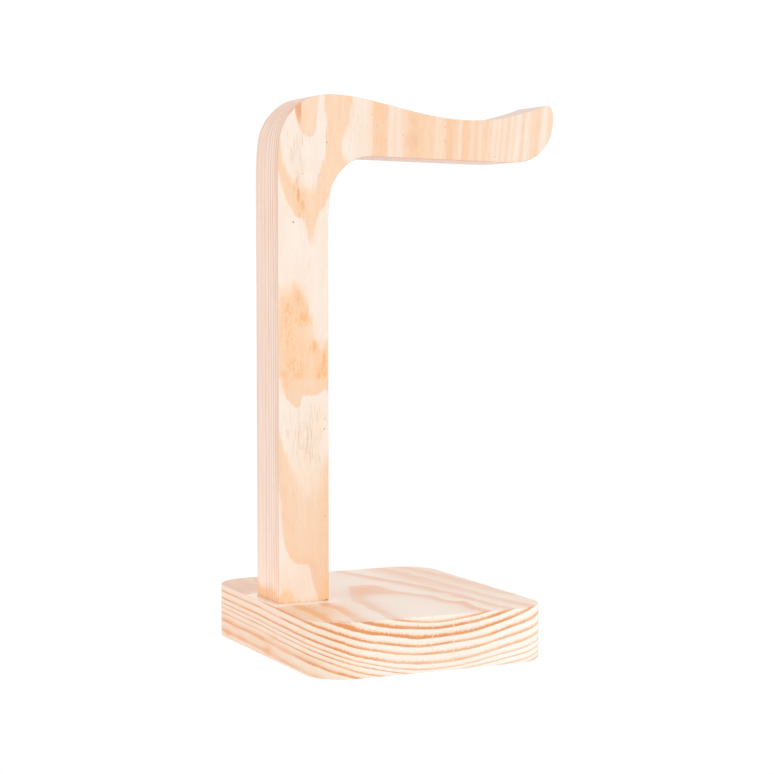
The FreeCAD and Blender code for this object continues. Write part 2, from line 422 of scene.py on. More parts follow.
def hanger_fields(ob):
    co = coords(ob) / MM
    u, w, v = co[:, 0] - X0, co[:, 1] - YC, co[:, 2] - Z0
    pts = np.stack([u, v], 1)
    zone = np.full(len(u), -20.0)
    soft = np.ones(len(u))
    for poly in ZONES:
        d, s = signed(poly, pts)
        m = d > zone
        zone[m], soft[m] = d[m], s[m]
    # paler fingers reach into the band over the armpit
    zone -= 4.2 * gauss(u, v, 34.6, 244.5, 2.0, 7) + 1.6 * gauss(u, v, 36.6, 256, 1.2, 7)
    soft += 2.4 * gauss(u, v, 35.0, 246, 4.5, 9)
    attribute(ob, "zone", np.clip(zone, -20, 20))
    attribute(ob, "zone_soft", soft)
    d, s = signed(WEDGE, pts)
    attribute(ob, "wedge", np.clip(d, -9, 9))
    # resin flecks and strong colour, patches of warmer early wood, open canals
    fleck = sum(k * gauss(u, v, a, b, c, d) for a, b, c, d, k in FLECKS)
    attribute(ob, "fleck", np.clip(fleck, 0, 1.1))
    warm = sum(k * gauss(u, v, a, b, c, d) for a, b, c, d, k in WARM)
    attribute(ob, "warm", np.clip(warm, 0, 1))
    canal = 0.12 + sum(k * gauss(u, v, a, b, c, d) for a, b, c, d, k in CANALS)
    attribute(ob, "canals", np.clip(canal, 0, 1))
    # glue that has soaked into the foot, highest at the corners
    h = v - ZF
    run = np.where(w < -BOARD / 2 + 0.6, u, np.where(u < 0.6, -(w + BOARD / 2), 40 + w))
    top = np.interp(run, [-28, -24, -20, -15, -9, -5, -2, 0, 2, 5, 9, 13, 18, 21, 23.5, 26, 50, 80],
                    [10.5, 9.5, 7.0, 8.0, 8.5, 6.5, 4.0, 6.0, 7.5, 7.0, 3.0, 2.2, 2.5, 5.0, 11, 15, 5, 6])
    amt = np.interp(run, [-28, -20, -10, -3, 0, 3, 8, 12, 20, 26, 50], [1.0, 1.0, .95, .75, .8, .8, .35, .25, .4, .75, .6])
    n = 1 + 0.35 * vnoise(np.stack([run / 2.2, h * 0, h * 0], 1), 71)
    attribute(ob, "soak", np.clip(amt * np.clip((top * n - h) / (0.45 * top * n), 0, 1) * (h < 24), 0, 1))
    # ring phase for the back, the ends and the edges: the pith lies behind the
    # post, so rings run along the face there and cross it near the nose
    r = np.hypot(u - 8.0, w - 96.0)
    drift = (1.5 * vnoise(np.stack([u / 46, w / 60, v / 105], 1), 11)
             + 0.45 * vnoise(np.stack([u / 15, w / 40, v / 48], 1), 12))
    attribute(ob, "ring", (r + 2.2 * drift) / 3.3)


# ====================================================================== base
BX0, BX1 = B_LO.x / MM, B_HI.x / MM
BY0, BY1 = B_LO.y / MM, B_HI.y / MM
SINK_R, CLEAR_R = 4.95, 2.75
FOOT = (X0 + POST_W / 2, YC)


def rounded_rect(off, nx, ny, na):
    """Loop of a rounded rectangle, inset by off; the same vertex count for any inset."""
    r = max(BASE_R - off, 0.0)
    cx0, cx1 = BX0 + BASE_R, BX1 - BASE_R
    cy0, cy1 = BY0 + BASE_R, BY1 - BASE_R
    pts = []
    for i in range(nx):
        pts.append((cx0 + (cx1 - cx0) * i / nx, cy0 - r))
    for i in range(na):
        a = -math.pi / 2 + math.pi / 2 * i / na
        pts.append((cx1 + r * math.cos(a), cy0 + r * math.sin(a)))
    for i in range(ny):
        pts.append((cx1 + r, cy0 + (cy1 - cy0) * i / ny))
    for i in range(na):
        a = math.pi / 2 * i / na
        pts.append((cx1 + r * math.cos(a), cy1 + r * math.sin(a)))
    for i in range(nx):
        pts.append((cx1 - (cx1 - cx0) * i / nx, cy1 + r))
    for i in range(na):
        a = math.pi / 2 + math.pi / 2 * i / na
        pts.append((cx0 + r * math.cos(a), cy1 + r * math.sin(a)))
    for i in range(ny):
        pts.append((cx0 - r, cy1 - (cy1 - cy0) * i / ny))
    for i in range(na):
        a = math.pi + math.pi / 2 * i / na
        pts.append((cx0 + r * math.cos(a), cy0 + r * math.sin(a)))
    return np.array(pts)


def base_mesh():
    nx, ny, na = 56, 70, 18
    e = BASE_EASE
    co, faces = [], []

    def add(P, z):
        s = len(co)
        co.extend((p[0], p[1], z) for p in P)
        return s

    k = 4
    levels = []
    for j in range(k + 1):
        a = math.pi / 2 * j / k
        levels.append((e * (1 - math.sin(a)), Z0 + e * (1 - math.cos(a))))
    for z in np.linspace(Z0 + e, ZB - e, 22)[1:-1]:
        levels.append((0.0, z))
    levels += [(o, ZB + Z0 - z) for o, z in levels[:k + 1][::-1]]
    rings = [add(rounded_rect(o, nx, ny, na), z) for o, z in levels]
    m = len(rounded_rect(0, nx, ny, na))
    for a, b in zip(rings[:-1], rings[1:]):
        for j in range(m):
            faces.append((a + j, a + (j + 1) % m, b + (j + 1) % m, b + j))
    # top: rings that shrink to a rectangle, then a plain grid
    insets = list(np.linspace(e, BASE_R, 11))[1:]
    prev = rings[-1]
    for off in insets[:-1]:
        s = add(rounded_rect(off, nx, ny, na), ZB)
        for j in range(m):
            faces.append((prev + j, prev + (j + 1) % m, s + (j + 1) % m, s + j))
        prev = s
    cx0, cx1 = BX0 + BASE_R, BX1 - BASE_R
    cy0, cy1 = BY0 + BASE_R, BY1 - BASE_R
    g = np.empty((nx + 1, ny + 1), int)
    s = add([(cx0 + (cx1 - cx0) * i / nx, cy0 + (cy1 - cy0) * j / ny)
             for i in range(nx + 1) for j in range(ny + 1)], ZB)
    g[:] = s + np.arange((nx + 1) * (ny + 1)).reshape(nx + 1, ny + 1)
    for i in range(nx):
        for j in range(ny):
            faces.append((g[i, j], g[i + 1, j], g[i + 1, j + 1], g[i, j + 1]))
    edge = []                              # grid vertex facing each ring vertex
    edge += [g[i, 0] for i in range(nx)] + [g[nx, 0]] * na
    edge += [g[nx, j] for j in range(ny)] + [g[nx, ny]] * na
    edge += [g[nx - i, ny] for i in range(nx)] + [g[0, ny]] * na
    edge += [g[0, ny - j] for j in range(ny)] + [g[0, 0]] * na
    for j in range(m):
        a, b = edge[j], edge[(j + 1) % m]
        if a == b:
            faces.append((prev + j, prev + (j + 1) % m, a))
        else:
            faces.append((prev + j, prev + (j + 1) % m, b, a))
    # underside: a triangulated field with the screw's countersink in it
    rim = rounded_rect(levels[0][0], nx, ny, na)
    nh = 48
    hole = [(FOOT[0] + SINK_R * math.cos(2 * math.pi * i / nh),
             FOOT[1] + SINK_R * math.sin(2 * math.pi * i / nh)) for i in range(nh)]
    pts = [Vector(p) for p in rim] + [Vector(p) for p in hole]
    r_in = BASE_R
    for x in np.arange(BX0 + 2, BX1 - 1.5, 2.4):
        for y in np.arange(BY0 + 2, BY1 - 1.5, 2.4):
            if math.hypot(x - FOOT[0], y - FOOT[1]) < SINK_R + 1.0:
                continue
            dx = max(BX0 + r_in - x, x - BX1 + r_in, 0)
            dy = max(BY0 + r_in - y, y - BY1 + r_in, 0)
            if (dx > 0 and dy > 0 and math.hypot(dx, dy) > r_in - 1.6):
                continue
            pts.append(Vector((x, y)))
    nrim = len(rim)
    loops = [list(range(nrim)), [nrim + i for i in range(nh)][::-1]]
    edges = [(i, (i + 1) % nrim) for i in range(nrim)]
    edges += [(nrim + i, nrim + (i + 1) % nh) for i in range(nh)]
    vo, eo, fo, ov, oe, of_ = delaunay_2d_cdt(pts, edges, [], 1, 1e-6)
    ids = []
    for i, v in enumerate(vo):
        src = ov[i]
        first = src[0] if src else -1
        if 0 <= first < nrim:
            ids.append(rings[0] + first)
        else:
            ids.append(add([v], Z0))
    hole_ids = {}
    for i, v in enumerate(vo):
        for sidx in ov[i]:
            if nrim <= sidx < nrim + nh:
                hole_ids[sidx - nrim] = ids[i]
    for f in fo:
        # what lies between points of the countersink's rim is its opening
        if all(math.hypot(vo[i].x - FOOT[0], vo[i].y - FOOT[1]) < SINK_R + 0.01 for i in f):
            continue
        faces.append(tuple(ids[i] for i in f))
    # the countersink and the clearance hole, closed at the top under the post
    prof = [(SINK_R, Z0 + 0.5), (CLEAR_R, Z0 + 0.5 + SINK_R - CLEAR_R), (CLEAR_R, ZB - 3.0)]
    last = [hole_ids[i] for i in range(nh)]
    for r, z in prof:
        s = add([(FOOT[0] + r * math.cos(2 * math.pi * i / nh),
                  FOOT[1] + r * math.sin(2 * math.pi * i / nh)) for i in range(nh)], z)
        now = list(range(s, s + nh))
        for i in range(nh):
            faces.append((last[i], last[(i + 1) % nh], now[(i + 1) % nh], now[i]))
        last = now
    faces.append(tuple(last))
    co = np.array(co)
    # sanded faces: a few hundredths of unevenness, always inwards
    d = 0.03 * (1 + vnoise(co / 17.0, 5))
    cxm, cym = (BX0 + BX1) / 2, (BY0 + BY1) / 2
    far = np.maximum(np.abs(co[:, 0] - cxm) - (BX1 - BX0) / 2, np.abs(co[:, 1] - cym) - (BY1 - BY0) / 2)
    side = np.clip(1 + far / 0.4, 0, 1)
    co[:, 0] -= np.sign(co[:, 0] - cxm) * d * side * (np.abs(co[:, 0] - cxm) > (BX1 - BX0) / 2 - 0.5)
    co[:, 1] -= np.sign(co[:, 1] - cym) * d * side * (np.abs(co[:, 1] - cym) > (BY1 - BY0) / 2 - 0.5)
    ob = new_object("base_block_wood", co * MM, [tuple(int(v) for v in f) for f in faces])
    outward(ob)
    return ob


# Heights of the latewood lines on the base's front face, bottom ring first,
# at these distances along it, in board coordinates (mm). The pith is above
# the block, so the lines sag in the middle.
RING_U = [-4, 5, 14, 20, 30, 45, 57, 70, 85, 95, 105, 116.5]
RING_V = [
    [-3.7, -6.4, -8.9, -10.8, -12.8, -14.9, -15.6, -14.4, -11.9, -9.6, -7.6, -5.6],  # 0
    [0.3, -2.7, -5.4, -7, -9, -11.1, -11.7, -10.6, -8, -5.6, -3.6, -2],  # 1
    [5.8, 2.7, 0.1, -1.8, -3.8, -6, -6.5, -5.4, -3.3, -1.6, -0.3, 1],  # 2
    [9.65, 6.4, 3, 1.3, -0.6, -2.9, -3.4, -2.3, -0.6, 0.6, 2.1, 3.6],  # 3
    [12.35, 9, 6.1, 4.5, 2.05, -0.7, -1.2, 0.15, 1.9, 3.55, 5, 6.5],  # 4
    [14.4, 11.05, 7.9, 6.35, 3.75, 1.4, 1.1, 1.9, 4.4, 5.9, 7.8, 9.3],  # 5
    [16.85, 13.4, 10, 8.45, 6.15, 4.05, 3.65, 4.5, 7.2, 9.2, 11.2, 13.1],  # 6
    [20.65, 17.25, 14.1, 12.75, 10.5, 8.45, 8.25, 8.8, 11.35, 13.4, 15.4, 17.2],  # 7
    [24.2, 20.7, 17.6, 16.15, 14.3, 11.9, 12.4, 13, 15, 17.6, 19.7, 21.8],  # 8
    [28.4, 24.6, 21.4, 20.05, 18.45, 15.8, 15.95, 16.5, 19.35, 21.9, 25, 27.2],  # 9
    [33.1, 29.5, 26.6, 24.65, 22.15, 20.55, 19.85, 20.85, 23.2, 25.7, 28.9, 31.5],  # 10
    [37.1, 33, 30.1, 28.4, 26.1, 23.5, 22.75, 23.75, 26.4, 29.4, 32.5, 35.1],  # 11
    [41.3, 37.1, 34.1, 32.5, 30, 27.1, 26.5, 27.6, 30.4, 33.6, 36.7, 39.3],  # 12
]
RISE_Y = [-72.2, -50, -40, -20, 0, 20, 40, 69]       # towards the back the rings rise
RISE_L = [0, 0.35, 0.5, 0.95, 1.75, 1.9, 2.2, 2.5]


def hermite(xs, ys, x):
    xs, ys = np.array(xs, float), np.array(ys, float)
    m = np.gradient(ys, xs)
    i = np.clip(np.searchsorted(xs, x, side="right") - 1, 0, len(xs) - 2)
    h = xs[i + 1] - xs[i]
    t = (x - xs[i]) / h
    return ((2 * t**3 - 3 * t**2 + 1) * ys[i] + (t**3 - 2 * t**2 + t) * h * m[i]
            + (-2 * t**3 + 3 * t**2) * ys[i + 1] + (t**3 - t**2) * h * m[i + 1])


# Growth rings on the base's top face, as (u, y) points with their ring phase:
# whole numbers are the sharp outer edges of the late wood.
TOP_RINGS = {
    11.0: [(31.5, -64), (33, -47), (35.5, -30), (37.5, -15), (41, -5), (45, 5), (49, 14), (52, 19.2), (58, 20.2), (64, 18.6),
           (66.3, 13), (66, 6), (65.8, 0), (68.5, -6), (73, -15), (77.5, -28), (80.5, -42), (82.5, -56), (82.5, -66)],
    11.3: [(36.5, -64), (38.5, -47), (41.3, -30), (44, -16), (48.5, -9.5), (54, -8.5), (60, -9.5), (65, -13), (69, -20),
           (72.3, -32), (75.2, -45), (77, -58), (77, -66)],
    11.72: [(57, -66), (57, -48), (57, -32)],
    10.72: [(57, 30), (28, -45), (30, -20), (73, 4), (82, -20), (86.5, -44), (62, 32)],
    10.5: [(60, 46), (54, 60), (44, 60), (44, 44), (36, 20)],
    10.0: [(14.5, -66), (16, -56), (17.5, -46), (18.3, -35), (17.5, -22), (95, -64), (94, -56), (93.2, -44), (92.2, -30),
           (90.5, -15), (88, 0), (84.2, 15), (79.7, 30), (75, 45), (71.7, 57), (70, 68), (13.6, 68), (14, 50)],
    10.3: [(21, -66), (22, -56), (23.2, -46), (24.2, -35), (23.4, -22), (89.5, -64), (88.7, -56), (87.6, -44), (86, -30),
           (84, -15), (81.5, 0), (77.5, 15), (73, 30), (69, 45), (66.5, 55), (65, 68), (19, 68), (20, 50)],
    9.7: [(12.8, -50), (13.6, -30), (97, -30), (92, 0), (88.5, 24), (84, 45), (80, 62)],
    9.0: [(2.0, -50), (2.6, -30), (3.6, -18), (5.5, 20), (7, 66), (7, 45), (106.2, -58), (104.6, -44), (103.4, -30), (102.4, -15),
          (101.7, 0), (100.8, 15), (99.6, 30), (98, 45), (95.6, 60), (93.8, 69)],
    9.34: [(9.3, -50), (10.4, -30), (11, -18), (11.2, 66), (12, 45), (100.2, -58), (98.7, -44), (97.6, -30), (96.8, -15),
           (95.9, 0), (94.4, 15), (92.6, 30), (90.6, 45), (88.4, 60), (87, 69)],
    8.7: [(107.5, -30), (106, 0), (104.2, 25), (101.5, 50), (3.4, 66), (2.6, 20), (-1, -30)],
    8.0: [(115.8, -30), (115.4, -15), (114.9, 5), (114, 20), (112.3, 35), (110.3, 50), (108, 62)],
    8.3: [(110.7, -30), (110.3, -15), (109.7, 5), (108.8, 20), (107.2, 35), (105.2, 50), (102.6, 62)],
}


def thin_plate(pts, val, at, smooth=0.6):
    """A thin-plate surface through scattered values."""
    def U(d2):
        return np.where(d2 > 0, d2 * np.log(np.maximum(d2, 1e-12)), 0.0)
    n = len(pts)
    K = U(((pts[:, None] - pts[None]) ** 2).sum(-1)) + np.eye(n) * smooth
    Pm = np.hstack([np.ones((n, 1)), pts])
    A = np.block([[K, Pm], [Pm.T, np.zeros((3, 3))]])
    sol = np.linalg.solve(A, np.concatenate([val, np.zeros(3)]))
    out = np.empty(len(at))
    for i in range(0, len(at), 4000):
        q = at[i:i + 4000]
        out[i:i + 4000] = U(((q[:, None] - pts[None]) ** 2).sum(-1)) @ sol[:n] + sol[n] + q @ sol[n + 1:]
    return out


def ring_phase(u, y, v):
    """Ring phase inside the block, from the front face's lines."""
    left = np.interp(y, RISE_Y, RISE_L)
    rise = left + (u + 4) / 61.0 * (0.031 * (y + 72.2) - left)
    Z = np.stack([hermite(RING_U, r, u) for r in RING_V], 0) + rise[None]
    n = len(RING_V)
    i = np.clip((Z <= v[None]).sum(0) - 1, 0, n - 2)
    a = Z[i, np.arange(len(u))]
    b = Z[i + 1, np.arange(len(u))]
    return i + (v - a) / (b - a)


def gauss(x, y, cx, cy, rx, ry):
    return np.exp(-(((x - cx) / rx) ** 2 + ((y - cy) / ry) ** 2))


def base_fields(ob):
    co = coords(ob) / MM
    u, y, v = co[:, 0] - X0, co[:, 1] - YC, co[:, 2] - Z0
    attribute(ob, "ring", ring_phase(u, y, v))
    # on the top face the rings close in a tongue
    edge = rounded_rect(0.0, 28, 30, 10)
    eu, ey = edge[:, 0] - X0, edge[:, 1] - YC
    m = (ey < -50) | (eu < -2)
    eu, ey = eu[m], ey[m]
    ep = ring_phase(eu, ey, np.full(len(eu), ZF))
    pts = [(a, b) for k, ps in TOP_RINGS.items() for a, b in ps]
    val = [k for k, ps in TOP_RINGS.items() for _ in ps]
    pts = np.vstack([np.array(pts), np.stack([eu, ey], 1)])
    val = np.concatenate([val, ep])
    top = ring_phase(u, y, v)
    m = v > ZF - 2.0
    top[m] = thin_plate(pts, val, np.stack([u[m], y[m]], 1))
    attribute(ob, "ring_top", top)
    # how strongly each patch shows its late wood
    str_ = (0.95 * gauss(u, y, 8, -33, 19, 19) + 0.9 * gauss(u, y, 1, -52, 14, 24) + 0.25 * gauss(u, y, 55, 8, 16, 14)
            + 0.5 * gauss(u, y, 10, 58, 14, 18) + 0.4 * gauss(u, y, 6, 36, 6, 14))
    attribute(ob, "strong", np.clip(str_, 0, 1))
    # blotches low on the left side
    blot = sum(k * gauss(y, v, a, b, ry, rv) for a, b, ry, rv, k in (
        (44, 3.3, 6, 1.5, 1.0), (35, 8, 8, 1.3, .65), (3, 8, 9, 1.4, 1.0), (-9, 3.2, 6, 1.7, .85), (-10, 6.5, 5, 4, .35),
        (27, 3.5, 6, 1.3, .55), (21, 19.3, 8, 1.0, .6), (-16, 11, 5, 1.0, .55), (-30, 6.6, 9, 1.0, .45), (-40, 18, 7, .9, .4),
        (-22, 18.6, 6, .8, .4), (12, 14.5, 7, .8, .4), (-52, 14, 4, 12, .22), (60, 8, 7, 1.5, .5))) * (u < 14)
    attribute(ob, "blotch", np.clip(blot, 0, 1))


# ================================================================= materials
class Graph:
    """A short way to write node trees."""

    def __init__(self, name):
        self.mat = bpy.data.materials.new(name)
        self.mat.use_nodes = True
        self.nt = self.mat.node_tree
        self.nt.nodes.clear()
        self.out = self.nt.nodes.new("ShaderNodeOutputMaterial")
        self.bsdf = self.nt.nodes.new("ShaderNodeBsdfPrincipled")
        self.nt.links.new(self.bsdf.outputs[0], self.out.inputs[0])
        self._pos = None

    def node(self, kind, **props):
        n = self.nt.nodes.new(kind)
        for k, v in props.items():
            setattr(n, k, v)
        return n

    def put(self, socket, value):
        if isinstance(value, bpy.types.NodeSocket):
            self.nt.links.new(value, socket)
        elif value is not None:
            socket.default_value = value

    def m(self, op, a, b=None, c=None, clamp=False):
        n = self.node("ShaderNodeMath", operation=op, use_clamp=clamp)
        self.put(n.inputs[0], a)
        self.put(n.inputs[1], b)
        if c is not None:
            self.put(n.inputs[2], c)
        return n.outputs[0]

    def add(self, a, b): return self.m("ADD", a, b)
    def sub(self, a, b): return self.m("SUBTRACT", a, b)
    def mul(self, a, b): return self.m("MULTIPLY", a, b)
    def div(self, a, b): return self.m("DIVIDE", a, b)
    def mad(self, a, b, c): return self.m("MULTIPLY_ADD", a, b, c)
    def max(self, a, b): return self.m("MAXIMUM", a, b)
    def min(self, a, b): return self.m("MINIMUM", a, b)
    def abs(self, a): return self.m("ABSOLUTE", a)
    def inv(self, a): return self.m("SUBTRACT", 1.0, a)

    def vec(self, op, a, b=None, scale=None):
        n = self.node("ShaderNodeVectorMath", operation=op)
        self.put(n.inputs[0], a)
        if b is not None:
            self.put(n.inputs[1], b)
        if scale is not None:
            self.put(n.inputs["Scale"], scale)
        return n.outputs["Value"] if op in ("DISTANCE", "LENGTH", "DOT_PRODUCT") else n.outputs[0]

    def pos(self):
        """Position in board coordinates, in mm: u, w, v on X, Y, Z."""
        if self._pos is None:
            t = self.node("ShaderNodeTexCoord")
            s = self.vec("SCALE", t.outputs["Object"], scale=1000.0)
            self._pos = self.vec("SUBTRACT", s, (X0, YC, Z0))
        return self._pos

    def xyz(self, v):
        n = self.node("ShaderNodeSeparateXYZ")
        self.put(n.inputs[0], v)
        return n.outputs[0], n.outputs[1], n.outputs[2]

    def join(self, x, y, z):
        n = self.node("ShaderNodeCombineXYZ")
        for s, v in zip(n.inputs, (x, y, z)):
            self.put(s, v)
        return n.outputs[0]

    def normal(self):
        g = self.node("ShaderNodeNewGeometry")
        return self.xyz(g.outputs["Normal"])

    def attr(self, name):
        n = self.node("ShaderNodeAttribute", attribute_name=name)
        return n.outputs["Fac"]

    def noise(self, vec, scale=1.0, detail=2.0, rough=0.5, dist=0.0, stretch=None, shift=0.0):
        if stretch is not None:
            vec = self.vec("MULTIPLY", vec, stretch)
        if shift:
            vec = self.vec("ADD", vec, (shift, shift * 1.7, shift * 0.6))
        n = self.node("ShaderNodeTexNoise")
        self.put(n.inputs["Vector"], vec)
        n.inputs["Scale"].default_value = scale
        n.inputs["Detail"].default_value = detail
        n.inputs["Roughness"].default_value = rough
        n.inputs["Distortion"].default_value = dist
        return n.outputs["Fac"]

    def cells(self, vec, scale=1.0, stretch=None, rand=1.0):
        if stretch is not None:
            vec = self.vec("MULTIPLY", vec, stretch)
        n = self.node("ShaderNodeTexVoronoi")
        self.put(n.inputs["Vector"], vec)
        n.inputs["Scale"].default_value = scale
        n.inputs["Randomness"].default_value = rand
        c = self.node("ShaderNodeSeparateColor")
        self.nt.links.new(n.outputs["Color"], c.inputs[0])
        return n.outputs["Distance"], c.outputs[0], c.outputs[1]

    def step(self, x, a, b, lo=0.0, hi=1.0, smooth=True):
        n = self.node("ShaderNodeMapRange", interpolation_type="SMOOTHSTEP" if smooth else "LINEAR")
        self.put(n.inputs["Value"], x)
        self.put(n.inputs["From Min"], a)
        self.put(n.inputs["From Max"], b)
        self.put(n.inputs["To Min"], lo)
        self.put(n.inputs["To Max"], hi)
        return n.outputs["Result"]

    def ramp(self, fac, stops, lo=0.0, hi=1.0, interp="LINEAR", colour=False):
        """stops: (place, value or colour) with places from lo to hi."""
        if lo != 0.0 or hi != 1.0:
            fac = self.m("DIVIDE", self.sub(fac, lo), hi - lo)
        n = self.node("ShaderNodeValToRGB")
        self.put(n.inputs[0], fac)
        r = n.color_ramp
        r.interpolation = interp
        el = r.elements
        while len(el) > 1:
            el.remove(el[-1])
        for i, (p, c) in enumerate(stops):
            p = (p - lo) / (hi - lo)
            e = el[0] if i == 0 else el.new(p)
            e.position = p
            e.color = (*c, 1) if colour else (c, c, c, 1)
        if colour:
            return n.outputs[0]
        s = self.node("ShaderNodeSeparateColor")
        self.nt.links.new(n.outputs[0], s.inputs[0])
        return s.outputs[0]

    def mix(self, fac, a, b, mode="MIX"):
        n = self.node("ShaderNodeMix", data_type="RGBA", blend_type=mode)
        n.clamp_factor = True
        self.put(n.inputs[0], fac)
        for s, v in ((n.inputs[6], a), (n.inputs[7], b)):
            self.put(s, (*v, 1) if isinstance(v, tuple) and len(v) == 3 else v)
        return n.outputs[2]

    def tint(self, colour, amount):
        """colour times a grey amount."""
        return self.vec("SCALE", colour, scale=amount)

    def bump(self, height, strength, distance):
        n = self.node("ShaderNodeBump")
        n.inputs["Strength"].default_value = strength
        n.inputs["Distance"].default_value = distance
        self.put(n.inputs["Height"], height)
        self.nt.links.new(n.outputs[0], self.bsdf.inputs["Normal"])


def lin(r, g, b):
    def f(c):
        c /= 255.0
        return c / 12.92 if c <= 0.04045 else ((c + 0.055) / 1.055) ** 2.4
    return (f(r), f(g), f(b))


def shade(c, k):
    return tuple(min(1.0, v * kk) for v, kk in zip(c, k if isinstance(k, tuple) else (k, k, k)))


# Colours of bare pine, early wood and late wood.
EXPO = 1.25
PALE = shade(lin(250, 236, 221), 1 / EXPO)
LATE = shade((0.82, 0.325, 0.122), 1 / EXPO)
PEACH = shade(lin(250, 214, 178), 1 / EXPO)


def base_material():
    g = Graph("pine_base")
    P = g.pos()
    u, w, v = g.xyz(P)
    nx, ny, nz = g.normal()
    end = g.step(g.abs(ny), 0.45, 0.85)
    flat = g.step(g.abs(nz), 0.5, 0.9)
    top = g.step(nz, 0.5, 0.75)
    side = g.m("SUBTRACT", g.inv(end), flat, clamp=True)
    # the rings wander slowly, and their edges are ragged by the fibres
    slow = g.sub(g.noise(P, 0.085, 2.0, 0.5, stretch=(1, 0.25, 1)), 0.5)
    tick = g.sub(g.noise(P, 1.0, 2.0, 0.75, stretch=(3.0, 0.09, 0.45)), 0.5)
    fibre = g.sub(g.noise(P, 1.0, 3.0, 0.6, stretch=(1.5, 0.05, 1.5), shift=31.0), 0.5)
    hair = g.noise(P, 1.0, 3.0, 0.65, stretch=(3.4, 0.11, 3.4), shift=3.0)

    def two(fac, a, b):
        """A number between a and b."""
        return g.add(a, g.mul(fac, g.sub(b, a)))

    ph = two(top, g.attr("ring"), g.attr("ring_top"))
    rag = g.add(g.mul(slow, 0.22), g.add(g.mul(g.mul(tick, 0.16), end), g.mul(g.mul(fibre, 0.20), g.inv(end))))
    q = g.add(ph, rag)
    f = g.m("FRACT", q)
    kk = g.add(g.m("FLOOR", q), 0.5)
    #   bottom ring first: depth of the line, its core's width, how far it shades off
    dark = g.ramp(kk, [(-1, .6), (0, .6), (1, .80), (2, .85), (3, .62), (4, .70), (5, .64), (6, .72), (7, .80),
                       (8, .92), (9, 1.0), (10, 1.0), (11, .85), (12, .7)], -1, 14, "CONSTANT")
    core = g.ramp(kk, [(-1, .20), (0, .20), (1, .22), (2, .26), (3, .20), (4, .19), (5, .20), (6, .25), (7, .23),
                       (8, .24), (9, .31), (10, .355), (11, .20), (12, .14)], -1, 14, "CONSTANT")
    tail = g.ramp(kk, [(-1, .16), (0, .16), (1, .18), (2, .20), (3, .12), (4, .11), (5, .12), (6, .12), (7, .12),
                       (8, .12), (9, .14), (10, .16), (11, .12), (12, .14)], -1, 14, "CONSTANT")
    jagged = g.sub(g.noise(P, 1.0, 2.0, 0.6, stretch=(1.5, 0.09, 0.30), shift=41.0), 0.5)
    core = g.mul(core, g.add(0.92, g.mul(g.add(tick, jagged), g.mul(end, 1.35))))
    low = g.step(kk, 3.0, 2.9)
    core = g.mul(core, two(end, g.mad(side, g.mad(low, 0.30, -0.12), 0.85), 1.0))
    # the left side's last stretch before the front shows its lines as deep as the front's
    turn = g.mul(g.step(u, 26.0, 8.0), g.step(w, -16.0, -56.0))
    core = g.mul(core, g.mad(turn, g.mad(low, -0.24, 0.22), 1.0))
    tail = g.mul(tail, two(end, g.mad(g.mul(side, low), 0.78, 0.92), 1.0))
    past = g.max(g.sub(f, core), 0.0)
    line = g.m("EXPONENT", g.mul(g.div(past, tail), -1.0))
    # the outer edge is sharp on the end grain, softer along the sides
    rise = g.step(g.inv(f), 0.0, two(end, 0.11, 0.035))
    line = g.mul(line, g.step(g.min(f, 1.0), 0.0, two(end, 0.07, 0.02), 0.35, 1.0))
    line = g.max(line, g.mul(g.inv(rise), 0.45))
    patch = g.noise(P, 0.06, 2.0, 0.55, stretch=(1, 0.3, 3.0), shift=7.0)
    late = g.mul(g.mul(line, dark), g.step(patch, 0.28, 0.68, 0.84, 1.14))
    run = g.noise(P, 1.0, 2.0, 0.5, stretch=(0.10, 0.045, 0.30), shift=27.0)
    late = g.mul(late, two(side, 1.0, g.mul(g.step(run, 0.34, 0.62, 1.0, 1.36), g.mad(g.mul(low, g.inv(turn)), -0.34, 1.0))))
    mid = g.mul(side, g.step(g.abs(g.sub(kk, 4.5)), 2.3, 1.9))
    late = g.mul(late, g.mad(g.mul(mid, g.inv(turn)), 0.26, 1.0))
    lowest = g.step(kk, 2.0, 1.9)
    late = g.mul(late, g.mad(turn, g.sub(g.mad(low, -0.30, 0.22), g.mul(lowest, 0.40)), 1.0))
    # the lines are deepest towards the left of the front
    late = g.mul(late, two(end, 1.0, g.step(u, 25.0, 112.0, 1.08, 0.80, smooth=False)))
    # two faint upright breaks in the front's lines
    uu = g.add(u, g.mul(g.sub(g.noise(P, 0.5, 2.0, 0.5, shift=51.0), 0.5), 0.8))
    crack = g.max(g.step(g.abs(g.sub(uu, 52.4)), 0.75, 0.1), g.step(g.abs(g.sub(uu, 63.3)), 0.75, 0.1))
    crack = g.mul(g.mul(crack, g.step(ny, -0.5, -0.9)), g.step(g.noise(P, 1.0, 2.0, 0.5, stretch=(0.4, 0.1, 0.35), shift=53.0), 0.36, 0.60))
    late = g.mul(late, g.mad(crack, -0.42, 1.0))
    # top face: broad soft bands
    ft = g.m("FRACT", g.add(ph, g.add(g.mul(slow, 0.10), g.mul(fibre, 0.16))))
    band = g.ramp(ft, [(0, .55), (.05, .85), (.16, 1.0), (.27, .80), (.36, .36), (.50, .12), (.72, .0), (.94, .04), (.985, .25), (1, .55)])
    strong = g.attr("strong")
    wide_band = g.ramp(ft, [(0, .55), (.05, .85), (.16, 1.0), (.27, .92), (.36, .74), (.50, .56), (.72, .40), (.94, .22), (.985, .30), (1, .55)])
    band = two(g.mul(g.step(u, 74.0, 90.0), g.step(w, -45.0, 5.0)), band, wide_band)
    band = g.mul(band, g.mad(strong, 0.60, 0.62))
    band = g.mul(band, g.step(patch, 0.3, 0.7, 0.85, 1.12))
    blotch = g.mul(g.attr("blotch"), g.step(g.noise(P, 1.0, 3.0, 0.6, stretch=(0.3, 0.12, 0.5), shift=14.0), 0.30, 0.60, 0.45, 1.0))

